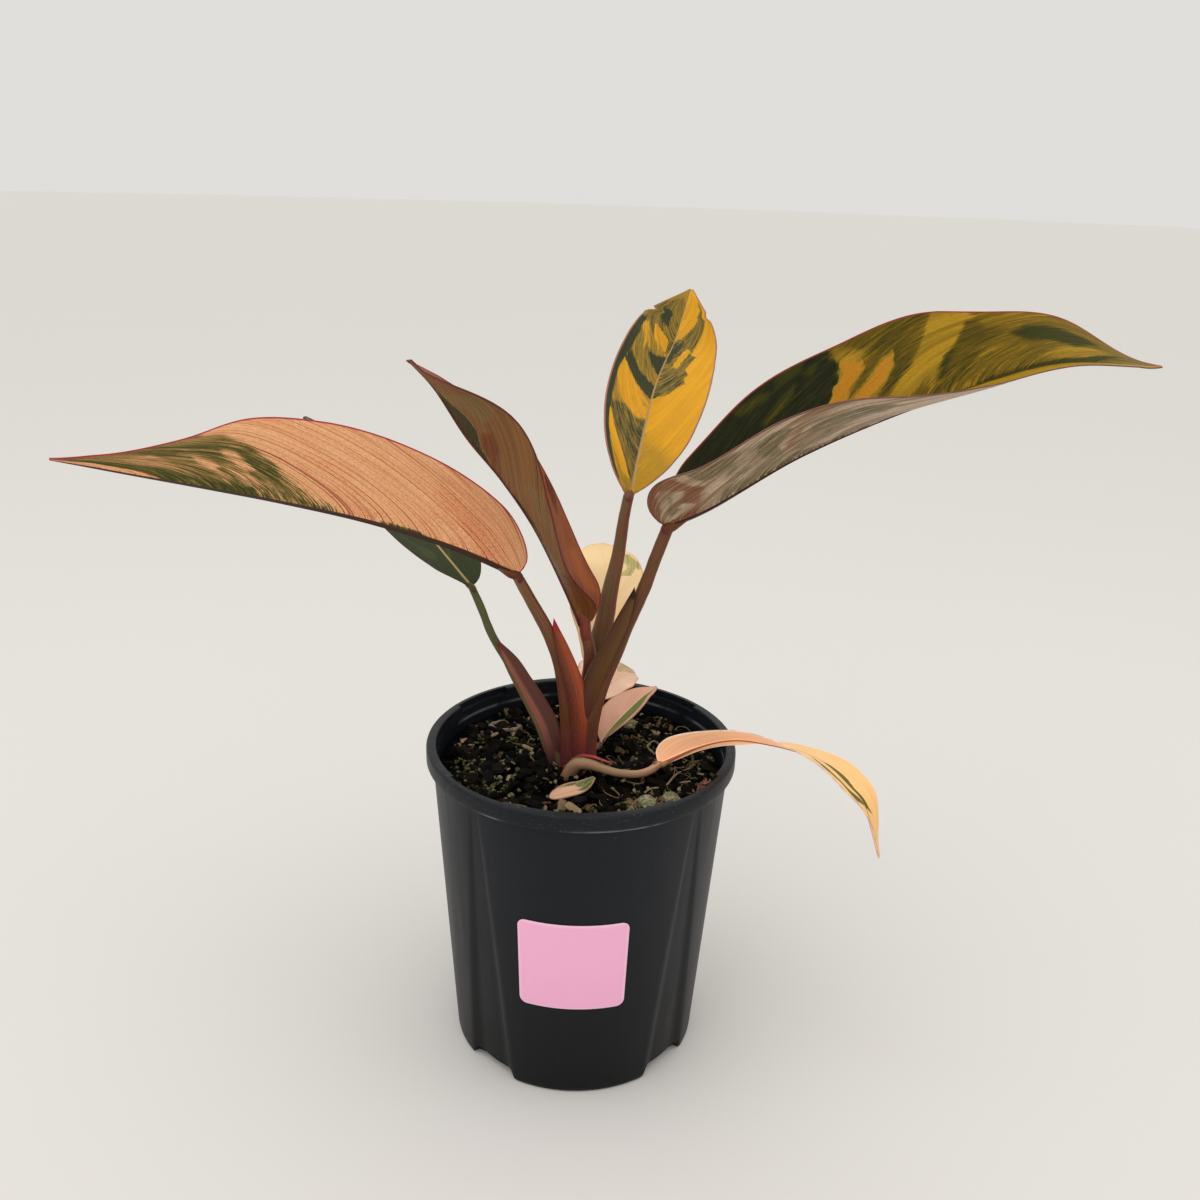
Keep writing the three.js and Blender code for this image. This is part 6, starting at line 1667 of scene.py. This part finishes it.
def half_points(side, share, across_share, pleat, length):
    """Across, rise and back of a half's points, its width, share outwards and vein run."""
    start = np.minimum(share / BASE_ROUNDING, 1)
    rounded = np.sqrt(start * (2 - start))
    end = np.maximum((share - 1) / side["blunt"] + 1, 0) if side["blunt"] else 0 * share
    blunted = np.sqrt(np.maximum(1 - end**2, 0))
    width = along(side["widths"], share) * rounded * blunted
    for middle, reach, depth in side["nicks"]:
        away = np.abs(share - middle) / reach
        width = width * (1 - depth * np.maximum(1 - away, 0))
    width = np.maximum(width, LEAST_WIDTH)
    flat = np.minimum(width / FLAT_WIDTH, 1)
    fold = np.radians(along(side["fold"], share)) * flat
    curl = np.radians(along(side["curl"], share)) * flat
    curl = np.where(np.abs(curl) < 1e-4, 1e-4, curl)
    v = across_share(width)
    angle = fold + curl * v
    across = (np.sin(angle) - np.sin(fold)) / curl * width
    rise = (np.cos(fold) - np.cos(angle)) / curl * width
    back = side["lobe"] * np.exp(-share / LOBE_FADE) * rounded * v
    vein = (share - VEIN_REACH * v**VEIN_BEND) * length
    swell = np.sin(vein * 2 * np.pi / PLEAT_SPACING) * np.sin(np.pi * np.clip(v, 0, 1))
    rise = rise + pleat * swell * np.minimum(width / PLEAT_WIDTH, 1)
    return across, rise, back, width, v, vein


def from_outline(x, y, corners):
    """How far points lie inside a closed outline. It is negative outside."""
    nearest = np.full(x.shape, np.inf)
    inside = np.zeros(x.shape, bool)
    for (ax, ay), (bx, by) in zip(corners, np.roll(corners, -1, axis=0)):
        run_x, run_y = bx - ax, by - ay
        along_edge = ((x - ax) * run_x + (y - ay) * run_y) / max(run_x**2 + run_y**2, 1e-9)
        t = np.clip(along_edge, 0, 1)
        nearest = np.minimum(nearest, np.hypot(x - ax - t * run_x, y - ay - t * run_y))
        if ay != by:
            inside ^= ((ay > y) != (by > y)) & (x < ax + (y - ay) * run_x / run_y)
    return np.where(inside, nearest, -nearest)


def painted(patches, share, v, length, width):
    """How green a half is at its points, patch over patch."""
    field = np.full(share.shape, NO_GREEN)
    for value, fade, outline in patches:
        away = from_outline(share * length, v * width, np.array(outline) * (length, width))
        field += (value - field) * np.clip(away / fade + 0.5, 0, 1)
    return field


def make_blade(name, leaf, paint, tones, node, pattern, thickness, row, columns, pleat):
    """A blade: a grid shaped by its section along the midrib, thickened to a raised rib."""
    length = length_of(leaf)
    rows = max(16, int(length / row))
    piece, along_share, across = grid(name, rows, 2 * columns)
    share = along_share**ROW_BIAS
    place, forward, up, side, _ = frames_along(leaf["points"], leaf["face"], share)
    rib = leaf["rib"] * (1 - RIB_TAPER * share)
    column = np.abs(across - 0.5) * 2 * columns
    on_rib = column <= RIB_COLUMNS

    def across_share(width):
        rib_share = np.minimum(rib * RIB_REACH / width, 0.3)
        within = rib_share * column / RIB_COLUMNS
        beyond = rib_share + (1 - rib_share) * (column - RIB_COLUMNS) / (columns - RIB_COLUMNS)
        return np.where(on_rib, within, beyond)

    halves = [half_points(leaf[key], share, across_share, pleat, length)
              for key in ("left", "right")]
    on_left = across > 0.5
    sign = np.where(on_left, -1.0, 1.0)
    out, rise, back, width, v, vein = (np.where(on_left, a, b) for a, b in zip(*halves))
    points = (place + side * (sign * out)[:, None] + up * rise[:, None]
              - forward * back[:, None])
    set_points(piece, points)
    green = np.where(on_left, *(
        painted(patches, share, v, length, max(leaf[key]["widths"]))
        for key, patches in zip(("left", "right"), paint)))
    set_field(piece, "green", green)
    run = v * width + share * length * STREAK_SLANT
    set_field(piece, "grain", np.stack([vein, run, sign], 1))
    set_field(piece, "edge", np.stack([(1 - v) * width, v * width, rib * RIB_REACH], 1))
    upper, under = tones
    for material in (leaf_material(name + "_upper", upper, pattern, 0.36),
                     leaf_material(name + "_under", under, pattern, 0.46),
                     rim_material(name + "_rim", under["margin"])):
        piece.data.materials.append(material)
    group = piece.vertex_groups.new(name="thickness")
    blade_share = thickness / MM / (thickness / MM + leaf["rib"])
    rib_rise = np.where(on_rib, np.cos(column / RIB_COLUMNS * np.pi / 2), 0)
    weights = blade_share + (1 - blade_share) * rib_rise * (1 - RIB_TAPER * share)
    for index, weight in enumerate(weights):
        group.add([index], float(weight), "REPLACE")
    apply_modifier(piece, "SOLIDIFY", thickness=thickness + leaf["rib"] * MM, offset=-1.0,
                   vertex_group="thickness", material_offset=1, material_offset_rim=2)
    finish_piece(piece, name, [node], [], 60)


def make_blades(settings, pattern):
    """Every blade."""
    for name, leaf in LEAVES.items():
        paint = [PAINT.get((name, key), []) for key in ("left", "right")]
        make_blade(f"{name}_blade", leaf, paint, BLADE_TONES[name],
                   f"blade_{name}", pattern, settings.blade, settings.row / MM,
                   settings.columns, settings.pleat / MM)


# ---- stage


def make_stage(stage):
    """A plain pale floor, soft light from the room and overhead, and the camera."""
    floor = added("floor", bpy.ops.mesh.primitive_circle_add, vertices=96, radius=12.0,
                  fill_type="NGON")
    material, w, shader = new_material("floor_plain", 0.75, 0.2)
    tint = w.noise(w.place(), 3.0, 2.0)
    w.put(shader["Base Color"],
          w.blend(tint, shaded(stage.floor, 1.0), shaded(stage.floor, 0.985)))
    floor.data.materials.append(material)

    world = bpy.data.worlds.new("room")
    bpy.context.scene.world = world
    bpy.context.scene.view_settings.view_transform = "Standard"
    world.use_nodes = True
    w = Wiring(world.node_tree)
    height = w.parts(w.node("TexCoord").outputs["Generated"])[2]
    overhead = w.times(w.step(height, 0.08, 0.75), stage.overhead - 1)
    background = world.node_tree.nodes["Background"]
    background.inputs["Color"].default_value = list(stage.room) + [1.0]
    w.put(background.inputs["Strength"], w.plus(overhead, 1.0))

    for name, place, size, share in (
            ("key", (-0.5, -0.35, 1.25), 1.0, 1.0), ("fill", (0.9, -0.2, 0.9), 0.8, 0.35)):
        light = added(name, bpy.ops.object.light_add, type="AREA", location=place)
        light.data.size = size
        light.data.energy = stage.key * share
        aim = Vector((0, 0, 0.18)) - Vector(place)
        light.rotation_euler = aim.to_track_quat("-Z", "Y").to_euler()

    forward = Vector((math.sin(stage.yaw) * math.cos(stage.pitch),
                      math.cos(stage.yaw) * math.cos(stage.pitch), -math.sin(stage.pitch)))
    level = forward.cross(Vector((0, 0, 1))).normalized()
    upright = level.cross(forward)
    right = math.cos(stage.roll) * level + math.sin(stage.roll) * upright
    up = math.cos(stage.roll) * upright - math.sin(stage.roll) * level
    camera = added("camera", bpy.ops.object.camera_add, location=stage.place)
    turn = camera.matrix_world.to_3x3()
    for row in range(3):
        turn[row] = (right[row], up[row], -forward[row])
    camera.rotation_euler = turn.to_euler()
    camera.data.lens = stage.lens
    camera.data.sensor_width = 36.0
    camera.data.clip_start = 0.01
    camera.data.clip_end = 20.0
    bpy.context.scene.camera = camera


# ---- operators and panel


def shared_group(name, make):
    """A node group built once and then found again by its name."""
    return bpy.data.node_groups.get(name) or make()


class PLANT_OT_pot(bpy.types.Operator):
    """Builds the black nursery pot"""

    bl_idname = "plant.pot"
    bl_label = "Pot"
    bl_options = {"REGISTER", "UNDO"}

    def execute(self, context):
        """Builds it from the pot's settings."""
        make_pot(context.scene.plant_pot)
        return {"FINISHED"}


class PLANT_OT_sticker(bpy.types.Operator):
    """Builds the blank pink sticker"""

    bl_idname = "plant.sticker"
    bl_label = "Sticker"
    bl_options = {"REGISTER", "UNDO"}

    def execute(self, context):
        """Builds it from its own settings and the pot's."""
        make_sticker(context.scene.plant_sticker, context.scene.plant_pot)
        return {"FINISHED"}


class PLANT_OT_mix(bpy.types.Operator):
    """Builds the potting mix with its chips, pellets, grit, roots and moss"""

    bl_idname = "plant.mix"
    bl_label = "Potting mix"
    bl_options = {"REGISTER", "UNDO"}

    def execute(self, context):
        """Builds it from its own settings and the pot's."""
        grain = shared_group("rough_grain", grain_group)
        make_mix(context.scene.plant_mix, context.scene.plant_pot, grain)
        return {"FINISHED"}


class PLANT_OT_litter(bpy.types.Operator):
    """Builds the larger loose things that lie on the mix"""

    bl_idname = "plant.litter"
    bl_label = "Litter"
    bl_options = {"REGISTER", "UNDO"}

    def execute(self, context):
        """Builds it at its places on the mix."""
        make_litter(shared_group("leaf_pattern", leaf_pattern_group),
                    shared_group("rough_grain", grain_group))
        return {"FINISHED"}


class PLANT_OT_crown(bpy.types.Operator):
    """Builds the crown with its papery remains"""

    bl_idname = "plant.crown"
    bl_label = "Crown"
    bl_options = {"REGISTER", "UNDO"}

    def execute(self, context):
        """Builds it at its place in the mix."""
        make_crown(shared_group("rough_grain", grain_group))
        return {"FINISHED"}


class PLANT_OT_stalks(bpy.types.Operator):
    """Builds the stalks and sheaths"""

    bl_idname = "plant.stalks"
    bl_label = "Stalks"
    bl_options = {"REGISTER", "UNDO"}

    def execute(self, context):
        """Builds one for each leaf."""
        make_stalks(shared_group("stalk_streaks", streak_group))
        return {"FINISHED"}


class PLANT_OT_blades(bpy.types.Operator):
    """Builds the leaf blades"""

    bl_idname = "plant.blades"
    bl_label = "Blades"
    bl_options = {"REGISTER", "UNDO"}

    def execute(self, context):
        """Builds one for each leaf from the foliage settings."""
        pattern = shared_group("leaf_pattern", leaf_pattern_group)
        make_blades(context.scene.plant_foliage, pattern)
        return {"FINISHED"}


class PLANT_OT_stage(bpy.types.Operator):
    """Builds the floor, the lights and the camera"""

    bl_idname = "plant.stage"
    bl_label = "Stage"
    bl_options = {"REGISTER", "UNDO"}

    def execute(self, context):
        """Builds it from the stage's settings."""
        make_stage(context.scene.plant_stage)
        return {"FINISHED"}


OPERATORS = (PLANT_OT_pot, PLANT_OT_sticker, PLANT_OT_mix, PLANT_OT_litter, PLANT_OT_crown,
             PLANT_OT_stalks, PLANT_OT_blades, PLANT_OT_stage)


class PLANT_PT_panel(bpy.types.Panel):
    """Lists the pieces of the potted plant"""

    bl_idname = "PLANT_PT_panel"
    bl_label = "Potted philodendron"
    bl_space_type = "VIEW_3D"
    bl_region_type = "UI"
    bl_category = "Plant"

    def draw(self, context):
        """A button for each piece."""
        for operator in OPERATORS:
            self.layout.operator(operator.bl_idname)


SETTINGS = {"plant_pot": PotSettings, "plant_sticker": StickerSettings,
            "plant_mix": MixSettings, "plant_foliage": FoliageSettings,
            "plant_stage": StageSettings}


def register():
    """Adds the settings, operators and panel to Blender."""
    for name, group in SETTINGS.items():
        bpy.utils.register_class(group)
        setattr(bpy.types.Scene, name, PointerProperty(type=group))
    for operator in OPERATORS:
        bpy.utils.register_class(operator)
    bpy.utils.register_class(PLANT_PT_panel)


def unregister():
    """Takes them away again."""
    bpy.utils.unregister_class(PLANT_PT_panel)
    for operator in reversed(OPERATORS):
        bpy.utils.unregister_class(operator)
    for name, group in SETTINGS.items():
        delattr(bpy.types.Scene, name)
        bpy.utils.unregister_class(group)


def main():
    """Builds every piece in order."""
    register()
    for operator in OPERATORS:
        area, name = operator.bl_idname.split(".")
        getattr(getattr(bpy.ops, area), name)()
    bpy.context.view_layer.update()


if __name__ == "__main__":
    main()
